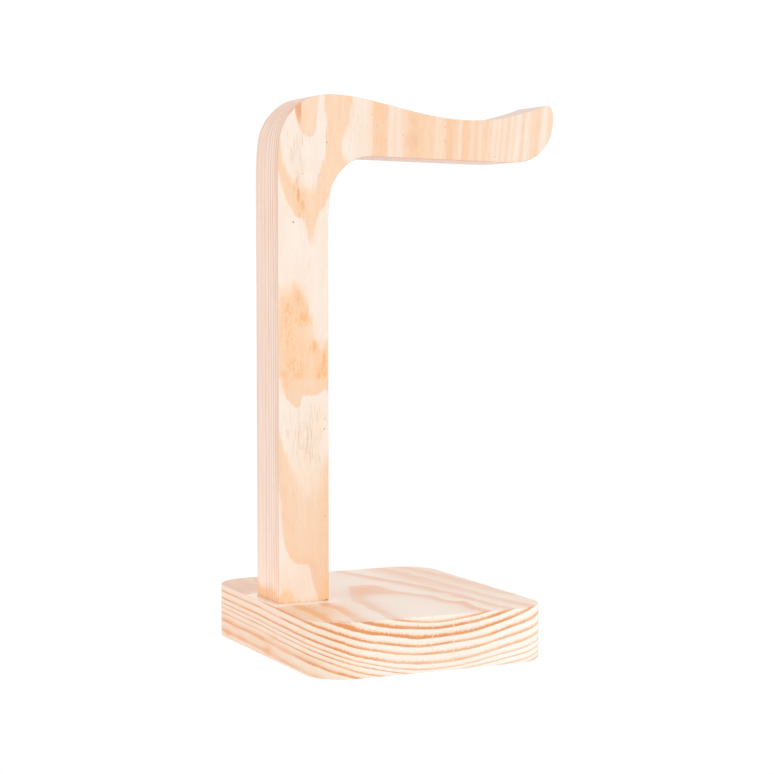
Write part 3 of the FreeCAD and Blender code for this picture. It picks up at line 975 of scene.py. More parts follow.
    # colour of the early wood, a little deeper towards the late wood
    warm = g.m("POWER", g.inv(f), 2.2)
    # painted highlight: the early wood is made whiter towards the right end, where the light falls strongest
    early = g.mix(g.step(u, 66.0, 96.0), shade(lin(253, 245, 233), 1 / EXPO), shade(lin(254, 252, 243), 1 / EXPO))
    early = g.mix(g.mul(warm, 0.14), early, PEACH)
    early = g.mix(g.mul(crack, 0.40), early, shade(lin(252, 222, 186), 1 / EXPO))
    early = g.mix(g.step(u, 20.0, -1.0), early, shade(lin(254, 223, 192), 1 / EXPO))
    early = g.mix(g.mul(side, 0.95), early, shade(lin(255, 229, 210), 1 / EXPO))
    # painted light: the left side's early wood is made paler in its last stretch before the front, to offset the shade
    # there
    early = g.mix(g.mul(turn, 0.85), early, shade(lin(255, 238, 218), 1 / EXPO))
    early = g.mix(top, early, shade(lin(253, 238, 226), 1 / EXPO))
    depth = g.mul(late, g.mad(side, -0.02, 0.98))
    col = g.mix(g.min(g.mul(depth, 1.0 / 0.6), 1.0), early, shade(lin(247, 201, 162), 1 / EXPO))
    col = g.mix(g.m("MULTIPLY", g.sub(depth, 0.6), 1.0 / 0.4, clamp=True), col, g.mix(g.mul(side, g.mad(turn, -0.8, 1.0)), LATE, shade(lin(238, 152, 90), 1 / EXPO)))
    topcol = g.mix(g.m("SUBTRACT", band, 0.55, clamp=True), shade(lin(243, 199, 170), 1 / EXPO), shade(lin(252, 166, 100), 1 / EXPO))
    tcol = g.mix(g.mul(band, g.step(u, 60.0, 85.0, 1.18, 1.75)), early, topcol)
    tcol = g.mix(g.step(u, 76.0, 100.0, 0.0, 0.35), tcol, shade(lin(250, 222, 202), 1 / EXPO))
    sfib = g.mul(strong, g.step(fibre, -0.22, 0.12, 0.35, 1.0))
    tcol = g.mix(g.mul(sfib, 0.66), tcol, shade(lin(254, 193, 132), 1 / EXPO))
    front_left = g.mul(g.step(w, -62.0, -71.5), g.mul(g.step(u, 34.0, 10.0), g.step(fibre, -0.1, 0.1)))
    tcol = g.mix(g.mul(front_left, 0.6), tcol, shade(lin(236, 150, 92), 1 / EXPO))
    # painted shade: the top just behind the post is darkened
    painted_shade_behind_post = g.mul(g.step(u, 26.0, 8.0), g.step(w, 12.0, 34.0))
    tcol = g.mix(g.mul(painted_shade_behind_post, 0.72), tcol, shade(lin(240, 201, 177), 1 / EXPO))
    col = g.mix(top, col, tcol)
    col = g.mix(g.mul(blotch, g.mul(side, 0.82)), col, shade(lin(249, 172, 108), 1 / EXPO))
    # fine fibre streaks, along the grain on the long faces, dots on the ends
    grit = g.noise(P, 1.0, 3.0, 0.7, stretch=(2.4, 0.5, 2.4), shift=61.0)
    col = g.mix(g.step(grit, 0.46, 0.72, 0.0, 0.55), col, g.vec("MULTIPLY", col, (0.985, 0.945, 0.915)))
    col = g.tint(col, g.step(hair, 0.25, 0.75, 0.955, 1.025))
    col = g.mix(g.mul(g.step(hair, 0.56, 0.72), g.mul(g.inv(end), 0.22)), col, shade(lin(250, 190, 150), 1 / EXPO))
    blot = g.noise(P, 0.05, 2.0, 0.5, stretch=(1, 0.5, 2.0), shift=12.0)
    col = g.mix(g.mul(g.step(blot, 0.5, 0.75), g.add(g.mul(side, 0.22), g.mul(flat, 0.12))), col, PEACH)
    # wiped glue has sealed a strip of the top around the post's foot
    dx = g.max(g.mul(u, -1.0), g.sub(u, POST_W))
    dy = g.sub(g.abs(w), BOARD / 2)
    dd = g.m("SQRT", g.add(g.m("POWER", g.max(dx, 0.0), 2.0), g.m("POWER", g.max(dy, 0.0), 2.0)))
    wob = g.mul(g.sub(g.noise(P, 0.30, 2.0, 0.5, shift=5.0), 0.5), 3.0)
    smear = g.mul(g.step(g.add(dd, wob), 6.3, 4.9), top)
    col = g.mix(g.mul(smear, g.step(u, 27.5, 23.5, 0.05, 0.88)), col, shade(lin(255, 236, 219), 1 / EXPO))
    # painted light: the top is lightened close round the post's foot, to offset the shade the post casts there
    near_ = g.mul(g.mul(g.step(dd, 16.0, 0.0), g.step(u, 34.0, 22.0, 0.35, 1.0)), top)
    col = g.tint(col, g.mad(near_, 0.13, 1.0))
    g.put(g.bsdf.inputs["Base Color"], col)
    rough = g.add(g.mul(g.noise(P, 0.5, 3.0, 0.6, stretch=(1, 0.2, 1)), 0.16), 0.46)
    rough = g.sub(rough, g.mul(late, 0.10))
    rough = g.sub(rough, g.mul(smear, 0.12))
    g.put(g.bsdf.inputs["Roughness"], rough)
    g.bsdf.inputs["Specular IOR Level"].default_value = 0.35
    h = g.add(g.mul(late, 0.6), g.mul(hair, 0.7))
    pore = g.noise(P, 1.0, 2.0, 0.6, stretch=(7.0, 0.5, 7.0), shift=9.0)
    h = g.add(h, g.mul(pore, 0.35))
    g.bump(h, 0.5, 0.00012)
    return g.mat


# Depth of colour across the arm, u from 56 to 150 mm: dark late wood high.
STRIPES = [(57.4, .92), (58.1, .40), (59.3, .36), (60.4, .60), (61.6, .64), (62.7, .38), (63.8, .48), (67.0, .92),
           (69, .97), (71, 1.1), (75, 1.06), (78, .92), (82, 1.0), (83.8, .52), (85.2, .78), (86.4, .58), (87.3, .86), (88.2, .62),
           (89.2, 1.18), (91, 1.14), (95.3, .88), (96.5, .42), (98.2, 1.06), (100.8, 1.12), (103.5, .6), (105.6, 1.02), (108, .5),
           (109.5, .88), (111.6, 1.0), (112.7, .58), (113.5, .84), (114.6, .46)]
STRIPES2 = [(114.6, .46), (116, .45), (116.9, .68), (118.1, .27), (119.6, .80), (121.3, .32), (123.2, .9), (125.1, .3),
            (126.5, .72), (128.3, .2), (129.3, .24), (131.4, .92), (133.3, .22), (134.6, .42), (136.5, .72), (138, .76),
            (139.8, .92), (141, .7), (142.3, .24), (144.0, .22), (145.2, .52), (146.6, .72), (148.4, .62), (150, .6)]

# Small knots and bark specks: (u, v, radius, depth), mm, on the front face.
SPECKS = [(7.9, 207.7, .50, 1.0), (12.7, 230.6, .34, .6), (21.6, 230.2, .34, .55), (25.3, 245.6, .42, .7),
          (48.9, 259.6, .35, .5), (51.9, 254.0, .3, .5), (65.5, 250.2, .4, .5), (88.4, 254.6, .33, .6),
          (88.3, 248.0, .33, .6), (116.2, 240.8, .38, .6), (23.7, 109.2, .42, .8), (23.7, 114.0, .36, .6),
          (11.2, 100.2, .3, .45), (24.0, 67.2, .35, .6), (12.7, 231.8, .25, .4)]


def hanger_material():
    g = Graph("pine_hanger")
    P = g.pos()
    u, w, v = g.xyz(P)
    nx, ny, nz = g.normal()
    front = g.step(g.mul(ny, -1.0), 0.45, 0.9)
    back = g.step(ny, 0.45, 0.9)
    wide = g.add(front, back)
    end = g.step(g.abs(nz), 0.30, 0.85)
    end = g.mul(end, g.inv(wide))
    side = g.m("SUBTRACT", g.inv(wide), end, clamp=True)
    fibre = g.noise(P, 1.0, 3.0, 0.6, stretch=(1.7, 1.7, 0.045))
    comb = g.noise(P, 1.0, 3.0, 0.7, stretch=(1.3, 1.3, 0.11), shift=6.0)
    fine = g.noise(P, 1.0, 3.0, 0.65, stretch=(4.2, 4.2, 0.11), shift=4.0)
    broad = g.noise(P, 1.0, 2.0, 0.5, stretch=(0.35, 0.35, 0.03), shift=8.0)
    cloud = g.noise(P, 1.0, 3.0, 0.6, stretch=(0.16, 0.16, 0.07), shift=15.0)

    def two(fac, a, b):
        return g.add(a, g.mul(fac, g.sub(b, a)))

    # front face: mapped zones on the post, stripes across the arm
    soft = g.attr("zone_soft")
    jag = g.add(g.mul(g.sub(fibre, 0.5), g.mad(soft, 1.6, 1.15)), g.mul(g.sub(comb, 0.5), g.mad(soft, 2.0, 1.25)))
    zd = g.div(g.add(g.attr("zone"), jag), soft)
    post = g.step(zd, -1.0, 1.0)
    # inside a zone the colour is deepest at its sharp outer edge
    post = g.mul(post, g.step(g.attr("zone"), 9.0, 1.0, 0.90, 1.08))
    post = g.mul(post, g.mad(g.mul(g.step(v, 245.0, 249.0), g.step(u, 23.0, 21.0)), -0.16, 1.0))
    lean = g.mul(g.sub(v, 250.0), g.step(u, 88.0, 116.0, 0.03, 0.10, smooth=False))
    us = g.sub(u, lean)
    calm = g.step(u, 86.0, 100.0, 1.0, 0.55)
    us = g.add(us, g.mul(g.mul(g.sub(g.noise(P, 1.0, 2.0, 0.5, stretch=(0.3, 0.3, 0.06), shift=2.0), 0.5), 1.3), calm))
    us = g.add(us, g.mul(g.mul(g.sub(comb, 0.5), 1.7), calm))
    s1 = g.ramp(us, [(p, c / 1.5) for p, c in STRIPES], 56, 150)
    s2 = g.ramp(us, [(p, c / 1.5) for p, c in STRIPES2], 56, 150)
    arm = g.mul(two(g.step(us, 114.5, 114.7), s1, s2), 1.5)
    # the arm's own bands between the corner and the first stripe
    usb = g.add(us, g.mul(g.sub(comb, 0.5), 2.4))
    band = g.ramp(usb, [(36, .62), (38.2, .55), (39.6, .30), (41, .22), (43.5, .24), (45, .20), (46.5, .40), (48.8, .55),
                        (49.8, 1.0), (51, 1.10), (56.4, 1.04), (57.6, .95)], 36, 60)
    arm = two(g.step(us, 56.8, 57.2), band, arm)
    arm = g.add(g.mul(arm, 1.12), g.mul(g.sub(arm, 0.62), 0.25))
    zf = two(g.step(u, 38.3, 40.2), post, arm)

    # back: rings in depth
    ph = g.attr("ring")
    q = g.add(ph, g.add(g.mul(g.sub(fibre, 0.5), 0.22), g.mul(g.sub(comb, 0.5), 0.25)))
    f = g.m("FRACT", q)
    kr = g.m("FLOOR", q)
    wn = g.node("ShaderNodeTexWhiteNoise", noise_dimensions="1D")
    g.put(wn.inputs["W"], kr)
    rnd = wn.outputs["Value"]
    zone_b = g.ramp(f, [(0, 1.0), (.28, .92), (.46, .45), (.62, .12), (.93, .05), (.975, .2), (1, 1.0)])
    zb = g.mul(zone_b, g.mad(rnd, 0.45, 0.7))
    # ends: the same rings cut across
    line = g.ramp(f, [(0, .9), (.1, .62), (.26, .28), (.5, .06), (.9, .02), (.96, .4), (1, .9)])
    ze = g.mul(line, g.mad(rnd, 0.5, 0.62))

    # edges of the board: long straight lines, closer together to the front
    ww = g.add(w, g.mul(g.sub(broad, 0.5), 1.1))
    ww = g.add(ww, g.mul(g.sub(fibre, 0.5), 0.5))
    stops = [(-14.5, .20), (-13.5, .60), (-12.7, 1.2), (-12.2, .05), (-11.0, .55), (-10.2, 1.2), (-9.7, -.15),
             (-8.5, .40), (-7.6, 1.15), (-7.1, -.25), (-5.7, .35), (-4.8, 1.1), (-4.3, -.15), (-2.9, .35), (-1.9, 1.0),
             (-1.4, .10), (1.5, .40), (2.4, .90), (2.9, .22), (5.6, .30), (6.9, .50), (7.4, .22), (9.6, .26), (11.6, .45),
             (12.5, .58), (13.0, .28), (14.5, .35)]
    stops = [(p, (c + 0.3) / 1.5) for p, c in stops]
    edge = g.ramp(ww, stops, -14.5, 14.5)
    edge = g.mad(edge, 1.5, -0.3)
    zl = g.mul(edge, g.step(g.noise(P, 1.0, 2.0, 0.5, stretch=(.2, .2, .02), shift=6.0), 0.3, 0.7, 0.7, 1.1))

    fb = g.add(g.mul(zf, front), g.mul(zb, back))
    mott = g.noise(P, 1.0, 3.0, 0.7, stretch=(0.9, 0.9, 0.16), shift=14.0)
    fb = g.mul(fb, g.step(mott, 0.3, 0.72, 0.84, 1.12))
    fb = g.add(fb, g.mul(g.step(comb, 0.55, 0.75), 0.10))
    deep = g.max(g.add(fb, g.mul(g.sub(fine, 0.5), g.mul(fb, 0.35))), 0.0)
    PALE_H = shade(lin(252, 237, 224), 1 / EXPO)
    WARM_H = shade(lin(252, 229, 205), 1 / EXPO)
    PEACH_H = shade(lin(251, 215, 183), 1 / EXPO)
    DEEP_H = shade(lin(249, 195, 150), 1 / EXPO)
    SIDE_H = shade(lin(254, 231, 215), 1 / EXPO)
    LINE_H = shade(lin(232, 177, 144), 1 / EXPO)
    warm = g.max(g.attr("warm"), g.mul(back, g.step(cloud, 0.4, 0.7)))
    warm = g.mul(warm, g.step(comb, 0.25, 0.7, 0.55, 1.15))
    pale = g.mix(g.add(warm, g.step(cloud, 0.45, 0.75, 0.0, 0.35)), PALE_H, WARM_H)
    col = g.mix(g.min(deep, 1.0), pale, PEACH_H)
    col = g.mix(g.mul(g.m("SUBTRACT", deep, 1.0, clamp=True), 1.15), col, DEEP_H)
    # faint pink fibre streaks and a fine mottle over the wide faces
    streak = g.noise(P, 1.0, 3.0, 0.7, stretch=(2.1, 2.1, 0.06), shift=71.0)
    col = g.mix(g.step(streak, 0.52, 0.72, 0.0, 0.32), col, g.vec("MULTIPLY", col, (0.985, 0.915, 0.875)))
    hairs = g.noise(P, 1.0, 3.0, 0.7, stretch=(2.6, 2.6, 0.16), shift=91.0)
    hairs = g.mul(g.step(hairs, 0.56, 0.70), g.mul(front, g.mul(g.min(deep, 1.0), g.step(u, 30.0, 50.0, 0.25, 0.50))))
    col = g.mix(hairs, col, shade(lin(244, 190, 148), 1 / EXPO))
    grit = g.noise(P, 1.0, 3.0, 0.7, stretch=(2.6, 2.6, 0.75), shift=77.0)
    col = g.mix(g.step(grit, 0.46, 0.72, 0.0, 0.42), col, g.vec("MULTIPLY", col, (0.985, 0.930, 0.900)))
    # long edges
    scol = g.mix(g.mul(zl, 0.85), SIDE_H, LINE_H)
    scol = g.mix(g.m("MULTIPLY", zl, -2.2, clamp=True), scol, shade(lin(255, 243, 232), 1 / EXPO))
    scol = g.mix(g.mul(g.step(comb, 0.52, 0.72), 0.16), scol, LINE_H)
    saw = g.noise(P, 1.0, 3.0, 0.65, stretch=(0.30, 0.30, 2.3), shift=83.0)
    saw = g.step(saw, 0.48, 0.72, 0.0, 0.28)
    scol = g.mix(saw, scol, g.vec("MULTIPLY", scol, (0.985, 0.925, 0.90)))
    col = g.mix(g.mul(saw, 0.55), col, g.vec("MULTIPLY", col, (0.985, 0.925, 0.90)))
    # ends of the fibres on the arm's top and underside
    ecol = g.mix(g.mul(ze, g.step(u, 96.0, 122.0, 0.36, 0.20)), shade(lin(250, 227, 211), 1 / EXPO), shade(lin(238, 186, 152), 1 / EXPO))
    dots = g.noise(P, 1.0, 3.0, 0.7, stretch=(2.6, 2.6, 2.6), shift=23.0)
    ecol = g.mix(g.step(dots, 0.5, 0.75, 0.0, 0.24), ecol, shade(lin(232, 176, 140), 1 / EXPO))
    # painted shade: end grain facing down is made darker than end grain facing up, most towards the post
    ecol = g.vec("MULTIPLY", ecol, g.mix(g.step(nz, -0.2, 0.2), g.mix(g.step(u, 96.0, 138.0), (0.852, 0.755, 0.745), (0.905, 0.905, 0.965)),
                                         g.mix(g.step(u, 30.0, 110.0), (0.97, 0.875, 0.84), (0.90, 0.875, 0.91))))
    # the corner keeps the edge's lines as they run round it and fade out
    round_ = g.mul(g.step(u, 24.0, 8.0), g.step(nz, 0.95, 0.55))
    ecol = g.mix(g.mul(round_, 0.80), ecol, g.vec("MULTIPLY", scol, (0.955, 0.885, 0.835)))
    # the wedge of resin runs on over the top
    seep = g.mul(g.mul(g.step(w, -7.0, -13.5), g.step(g.abs(g.sub(u, 9.6)), 4.2, 1.6)), g.step(comb, 0.3, 0.6))
    ecol = g.mix(g.mul(seep, 0.7), ecol, shade(lin(236, 166, 118), 1 / EXPO))
    col = g.mix(g.add(side, end), col, g.mix(g.div(end, g.max(g.add(side, end), 0.001)), scol, ecol))

    # resin canals: short brown dashes along the fibres
    thin = g.noise(P, 1.0, 2.0, 0.6, stretch=(3.1, 3.1, 0.10), shift=33.0)
    can = g.max(g.attr("canals"), g.mul(back, 0.35))
    lo = g.mad(can, -0.147, 0.70)
    dashes = g.mul(g.step(g.sub(thin, lo), 0.0, 0.06), g.mul(wide, g.mad(can, 0.4, 0.35)))
    dcol = g.mix(g.step(v, 150.0, 200.0), shade(lin(238, 178, 128), 1 / EXPO), shade(lin(232, 178, 148), 1 / EXPO))
    col = g.mix(g.mul(dashes, 0.88), col, dcol)
    # resin flecks in the deep zones
    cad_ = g.mul(g.attr("fleck"), front)
    fl = g.noise(P, 1.0, 3.0, 0.68, stretch=(1.35, 1.35, 0.42), shift=21.0)
    fl2 = g.noise(P, 1.0, 2.0, 0.6, stretch=(0.55, 0.55, 0.20), shift=44.0)
    fl = g.add(g.mul(fl, 0.72), g.mul(fl2, 0.28))
    thr = g.mad(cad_, -0.135, 0.612)
    spots = g.mul(g.step(g.sub(fl, thr), 0.0, 0.10), g.min(g.mul(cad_, 2.0), 1.0))
    col = g.mix(g.mul(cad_, 0.50), col, shade(lin(253, 204, 152), 1 / EXPO))
    col = g.mix(g.mul(spots, 0.50), col, g.mix(g.step(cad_, 0.75, 1.0), shade(lin(253, 190, 120), 1 / EXPO), shade(lin(250, 172, 98), 1 / EXPO)))

    wig = g.mul(g.sub(g.noise(P, 1.0, 3.0, 0.7, stretch=(1.3, 1.3, 0.5), shift=17.0), 0.5), 1.5)

    def blob(cu, cv, ru, rv, soft0=1.0, soft1=0.35):
        a = g.div(g.sub(u, cu), ru)
        b = g.div(g.sub(v, cv), rv)
        r = g.add(g.m("SQRT", g.add(g.m("POWER", a, 2.0), g.m("POWER", b, 2.0))), wig)
        return g.mul(g.step(r, soft0, soft1), front)
    for cu, cv, ru, rv, k, c in ((15.6, 153.5, 3.6, 7.0, .42, (252, 226, 199)), (3.2, 175.5, 5.0, 4.6, .50, (252, 229, 206)),
                                 (20.0, 157.0, 3.0, 5.0, .30, (252, 224, 196)),
                                 (10.2, 171.5, 2.4, 4.4, .30, (250, 178, 112)), (14.0, 163.3, 3.4, 3.0, .32, (250, 176, 108)),
                                 (4.9, 167.5, 1.8, 2.8, .30, (250, 180, 114)), (3.0, 136.0, 2.4, 2.2, .32, (250, 180, 112)),
                                 (10.0, 134.8, 3.6, 2.4, .32, (250, 178, 110)), (6.3, 142.0, 1.4, 2.6, .30, (250, 180, 112)),
                                 (23.8, 142.5, 1.5, 4.6, .34, (248, 162, 92)), (20.8, 134.6, 1.6, 2.8, .45, (249, 174, 106)),
                                 (18.9, 148.5, 1.1, 3.8, .48, (246, 168, 104)), (24.2, 135.4, 1.3, 2.8, .36, (248, 168, 100)),
                                 (10.5, 220.6, 1.1, 5.0, .55, (230, 156, 116)), (9.6, 227.0, 0.7, 3.0, .45, (232, 176, 140)),
                                 (12.8, 215.5, 1.8, 3.4, .5, (247, 178, 120)), (11.0, 211.5, 0.9, 2.4, .4, (244, 178, 126)),
                                 (24.9, 247.8, 0.28, 6.5, .5, (228, 160, 122)),
                                 (70.5, 247.5, 5.5, 5.5, .26, (236, 186, 152))):
        col = g.mix(g.mul(blob(cu, cv, ru, rv), k), col, shade(lin(*c), 1 / EXPO))
    # the resinous wedge
    wd = g.add(g.attr("wedge"), g.add(g.mul(g.sub(fibre, 0.5), 0.5), g.mul(g.sub(comb, 0.5), 1.3)))
    wm = g.mul(g.step(wd, -0.35, 0.7), front)
    wcol = g.mix(g.step(v, 252.5, 260.0), shade(lin(249, 200, 162), 1 / EXPO), shade(lin(241, 166, 126), 1 / EXPO))
    wcol = g.mix(g.step(comb, 0.5, 0.7, 0.0, 0.5), wcol, shade(lin(222, 132, 92), 1 / EXPO))
    col = g.mix(g.mul(wm, 0.88), col, wcol)
    # specks
    sp = None
    for cu, cv, r, k in SPECKS:
        d = g.vec("DISTANCE", P, (cu, -BOARD / 2, cv))
        s = g.step(d, r * 1.25, r * 0.35, 0.0, k)
        sp = s if sp is None else g.max(sp, s)
    col = g.mix(g.mul(sp, 0.9), col, lin(140, 84, 50))
    # sparse specks on the other faces
    d3, r5, r6 = g.cells(P, 1.0, stretch=(0.05, 0.05, 0.035))
    col = g.mix(g.mul(g.mul(g.step(d3, 0.022, 0.010), g.step(r5, 0.35, 0.4)), g.mul(back, 0.8)), col, lin(150, 92, 58))
    # glue has soaked into the foot and deepened it
    soak = g.attr("soak")
    soak = g.mul(soak, g.step(comb, 0.25, 0.6, 0.75, 1.1))
    col = g.mix(g.mul(soak, 0.80), col, g.mix(front, shade(lin(244, 184, 132), 1 / EXPO), shade(lin(252, 203, 143), 1 / EXPO)))
    # the lowest 1.6 mm of the foot is darker in patches
    foot_bottom_band = g.mul(g.step(g.sub(v, ZF), 1.6, 0.2), g.step(comb, 0.45, 0.62))
    col = g.mix(g.mul(foot_bottom_band, 0.5), col, shade(lin(214, 142, 92), 1 / EXPO))
    # the front face's arrises that turn right or downwards are darker
    arris = g.mul(g.step(g.mul(ny, -1.0), 0.985, 0.85), g.step(g.mul(ny, -1.0), 0.05, 0.25))
    arris = g.mul(arris, g.max(g.step(nx, 0.15, 0.4), g.step(nz, -0.15, -0.4)))
    col = g.mix(g.mul(arris, 0.75), col, g.vec("MULTIPLY", col, (0.90, 0.74, 0.62)))
    # painted light: the colour is lightened near the foot, fading within a few centimetres upwards, to offset the shade
    # the base casts there
    hz = g.max(g.sub(v, ZF), 0.0)
    lift = g.mul(g.m("EXPONENT", g.mul(hz, -1.0 / 24.0)), 0.17)
    col = g.tint(col, g.add(1.0, lift))
    col = g.tint(col, g.step(fine, 0.25, 0.75, 0.955, 1.025))
    col = g.tint(col, g.step(broad, 0.3, 0.7, 0.985, 1.01))
    g.put(g.bsdf.inputs["Base Color"], col)
    rough = g.mad(g.noise(P, 0.6, 3.0, 0.6, stretch=(1, 1, 0.15)), 0.16, 0.45)
    rough = g.sub(rough, g.mul(g.min(deep, 1.0), 0.07))
    g.put(g.bsdf.inputs["Roughness"], rough)
    g.bsdf.inputs["Specular IOR Level"].default_value = 0.35
    h = g.add(g.mul(deep, 0.35), g.add(g.mul(fine, 0.8), g.mul(fibre, 0.4)))
    h = g.sub(h, g.mul(dashes, 1.5))
    h = g.sub(h, g.mul(sp, 2.0))
    g.bump(h, 0.5, 0.00012)
    return g.mat


def glue_material():
    g = Graph("dried_glue")
    P = g.pos()
    n = g.noise(P, 0.8, 3.0, 0.6)
    col = g.mix(g.step(n, 0.3, 0.7), shade(lin(252, 214, 176), 1 / EXPO), shade(lin(252, 226, 202), 1 / EXPO))
    g.put(g.bsdf.inputs["Base Color"], col)
    g.put(g.bsdf.inputs["Roughness"], g.mad(n, 0.2, 0.26))
    g.bsdf.inputs["Specular IOR Level"].default_value = 0.5
    g.bump(g.noise(P, 2.0, 3.0, 0.6), 0.5, 0.00015)
    return g.mat


def steel_material():
    g = Graph("zinc_steel")
    P = g.vec("SUBTRACT", g.pos(), (POST_W / 2, 0.0, 0.0))
    x, y, z = g.xyz(P)
    r = g.m("SQRT", g.add(g.m("POWER", x, 2.0), g.m("POWER", y, 2.0)))
    turn = g.noise(g.join(g.mul(r, 9.0), g.mul(z, 3.0), 0.0), 1.0, 3.0, 0.6)
    spang = g.noise(P, 1.6, 2.0, 0.5)
    col = g.mix(g.step(spang, 0.35, 0.7), lin(190, 186, 168), lin(214, 204, 176))
    worn = g.step(g.noise(P, 1.2, 4.0, 0.7, shift=5.0), 0.58, 0.72)
    col = g.mix(g.mul(worn, 0.6), col, lin(150, 148, 145))
    g.put(g.bsdf.inputs["Base Color"], col)
    g.bsdf.inputs["Metallic"].default_value = 1.0
    g.put(g.bsdf.inputs["Roughness"], g.mad(turn, 0.25, 0.26))
    g.bump(turn, 0.3, 0.00005)
    return g.mat


def beech_material():
    g = Graph("beech")
    P = g.pos()
    f1 = g.noise(P, 1.0, 3.0, 0.6, stretch=(2.2, 2.2, 0.10))
    ray = g.noise(P, 1.0, 2.0, 0.5, stretch=(4.0, 4.0, 0.7), shift=4.0)
    col = g.mix(g.step(f1, 0.3, 0.7), lin(222, 186, 148), lin(205, 160, 120))
    col = g.mix(g.mul(g.step(ray, 0.6, 0.72), 0.5), col, lin(176, 122, 86))
    g.put(g.bsdf.inputs["Base Color"], col)
    g.put(g.bsdf.inputs["Roughness"], g.mad(f1, 0.2, 0.5))
    g.bump(g.add(f1, ray), 0.4, 0.0001)
    return g.mat


def felt_material():
    g = Graph("pressed_felt")
    P = g.pos()
    a = g.noise(P, 3.2, 5.0, 0.75, dist=1.6)
    b = g.noise(P, 9.0, 3.0, 0.7, dist=2.2, shift=4.0)
    t = g.add(g.mul(a, 0.6), g.mul(b, 0.4))
    col = g.mix(g.step(t, 0.36, 0.66), lin(150, 144, 136), lin(196, 190, 180))
    hair = g.step(g.noise(P, 5.0, 2.0, 0.5, dist=4.0, shift=9.0), 0.66, 0.72)
    col = g.mix(g.mul(hair, 0.35), col, lin(226, 222, 214))
    g.put(g.bsdf.inputs["Base Color"], col)
    g.put(g.bsdf.inputs["Roughness"], g.mad(a, 0.12, 0.86))
    g.bsdf.inputs["Specular IOR Level"].default_value = 0.2
    g.bsdf.inputs["Sheen Weight"].default_value = 0.35
    g.bsdf.inputs["Sheen Roughness"].default_value = 0.6
    g.bump(t, 0.8, 0.0003)
    return g.mat


# ============================================================ small pieces
def felt_pads():
    """Die-cut felt discs, a little proud in the middle of their rim."""
    lo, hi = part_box("felt_pads")
    r = 9.0
    t = hi.z / MM
    cs = [(x, y) for x in (lo.x / MM + r, hi.x / MM - r) for y in (lo.y / MM + r, hi.y / MM - r)]
    co, faces = [], []
    na, seed = 120, 0
    for cx, cy in cs:
        seed += 1
        base = len(co)
        prof = [(0.0, 0.0)]
        prof += [(r * k / 22.0, 0.0) for k in range(1, 22)]
        prof += [(r - 0.16, 0.0), (r - 0.06, t * 0.10), (r, t * 0.3), (r, t * 0.7), (r - 0.05, t * 0.92), (r - 0.14, t)]
        prof += [(r * k / 22.0, t) for k in range(21, 0, -4)]
        prof += [(0.0, t)]
        ring_ids = []
        for rad, z in prof:
            if rad == 0.0:
                ring_ids.append([len(co)])
                co.append((cx, cy, z))
                continue
            ids = []
            for i in range(na):
                a = 2 * math.pi * i / na
                ids.append(len(co))
                co.append((cx + rad * math.cos(a), cy + rad * math.sin(a), z))
            ring_ids.append(ids)
        for A, B in zip(ring_ids[:-1], ring_ids[1:]):
            for i in range(na):
                j = (i + 1) % na
                if len(A) == 1:
                    faces.append((A[0], B[j], B[i]))
                elif len(B) == 1:
                    faces.append((A[i], A[j], B[0]))
                else:
                    faces.append((A[i], A[j], B[j], B[i]))
        part = np.array(co[base:])
        # fibres stand up and lie down; never past the disc
        n1 = vnoise(part * 1.7, 20 + seed)
        n2 = vnoise(part * 4.1, 40 + seed)
        d = 0.05 * (1 + n1) + 0.03 * (1 + n2)
        under = part[:, 2] < t * 0.5
        rad = np.hypot(part[:, 0] - cx, part[:, 1] - cy)
        shrink = np.where(rad > r - 0.3, 1 - d / r, 1.0)
        part[:, 0] = cx + (part[:, 0] - cx) * shrink
        part[:, 1] = cy + (part[:, 1] - cy) * shrink
        part[:, 2] += np.where(under, d * 0.55, 0)
        co[base:] = [tuple(p) for p in part]
    ob = new_object("felt_pad_discs", np.array(co) * MM, faces)
    outward(ob)
    return ob


def glue_bead():
    """A thin uneven bead of dried glue in the corner between foot and base."""
    hx, hy = POST_W / 2, BOARD / 2
    cx, cy = X0 + hx, YC
    path = []
    r = 0.5
    n = 60
    corners = [(-hx, -hy), (hx, -hy), (hx, hy), (-hx, hy)]
    for k in range(4):
        a, b = np.array(corners[k]), np.array(corners[(k + 1) % 4])
        for i in range(n):
            path.append(a + (b - a) * (i / n))
    path = np.array(path)
    m = len(path)
    t = np.roll(path, -1, 0) - np.roll(path, 1, 0)
    t /= np.hypot(t[:, 0], t[:, 1])[:, None]
    out = np.stack([t[:, 1], -t[:, 0]], 1)
    s = np.arange(m) / m * 2 * math.pi
    ring3 = np.stack([np.cos(s) * 9, np.sin(s) * 9, s * 0], 1)
    fat = 0.34 + 0.22 * vnoise(ring3, 61) + 0.10 * vnoise(ring3 * 3.1, 62)
    fat = np.clip(fat, 0.06, 0.8)
    prof = []
    steps = 6
    for j in range(steps + 1):
        a = math.pi / 2 * j / steps
        # a concave fillet from the base, outwards, up to the wood
        prof.append((1.5 * (1 - math.sin(a)) ** 1.2, 0.85 * (1 - math.cos(a)) ** 1.2))
    co, faces = [], []
    for i in range(m):
        o = out[i]
        for a, b in prof:
            co.append((cx + path[i, 0] + o[0] * (a * fat[i] - 0.02), cy + path[i, 1] + o[1] * (a * fat[i] - 0.02), ZB - 0.01 + b * fat[i]))
        co.append((cx + path[i, 0] - o[0] * 0.3, cy + path[i, 1] - o[1] * 0.3, ZB + prof[-1][1] * fat[i] * 0.9))
        co.append((cx + path[i, 0] - o[0] * 0.3, cy + path[i, 1] - o[1] * 0.3, ZB - 0.01))
    k = steps + 3
    for i in range(m):
        j = (i + 1) % m
        for a in range(k):
            b = (a + 1) % k
            faces.append((i * k + a, j * k + a, j * k + b, i * k + b))
    ob = new_object("foot_glue_bead", np.array(co) * MM, faces)
    outward(ob)
    return ob


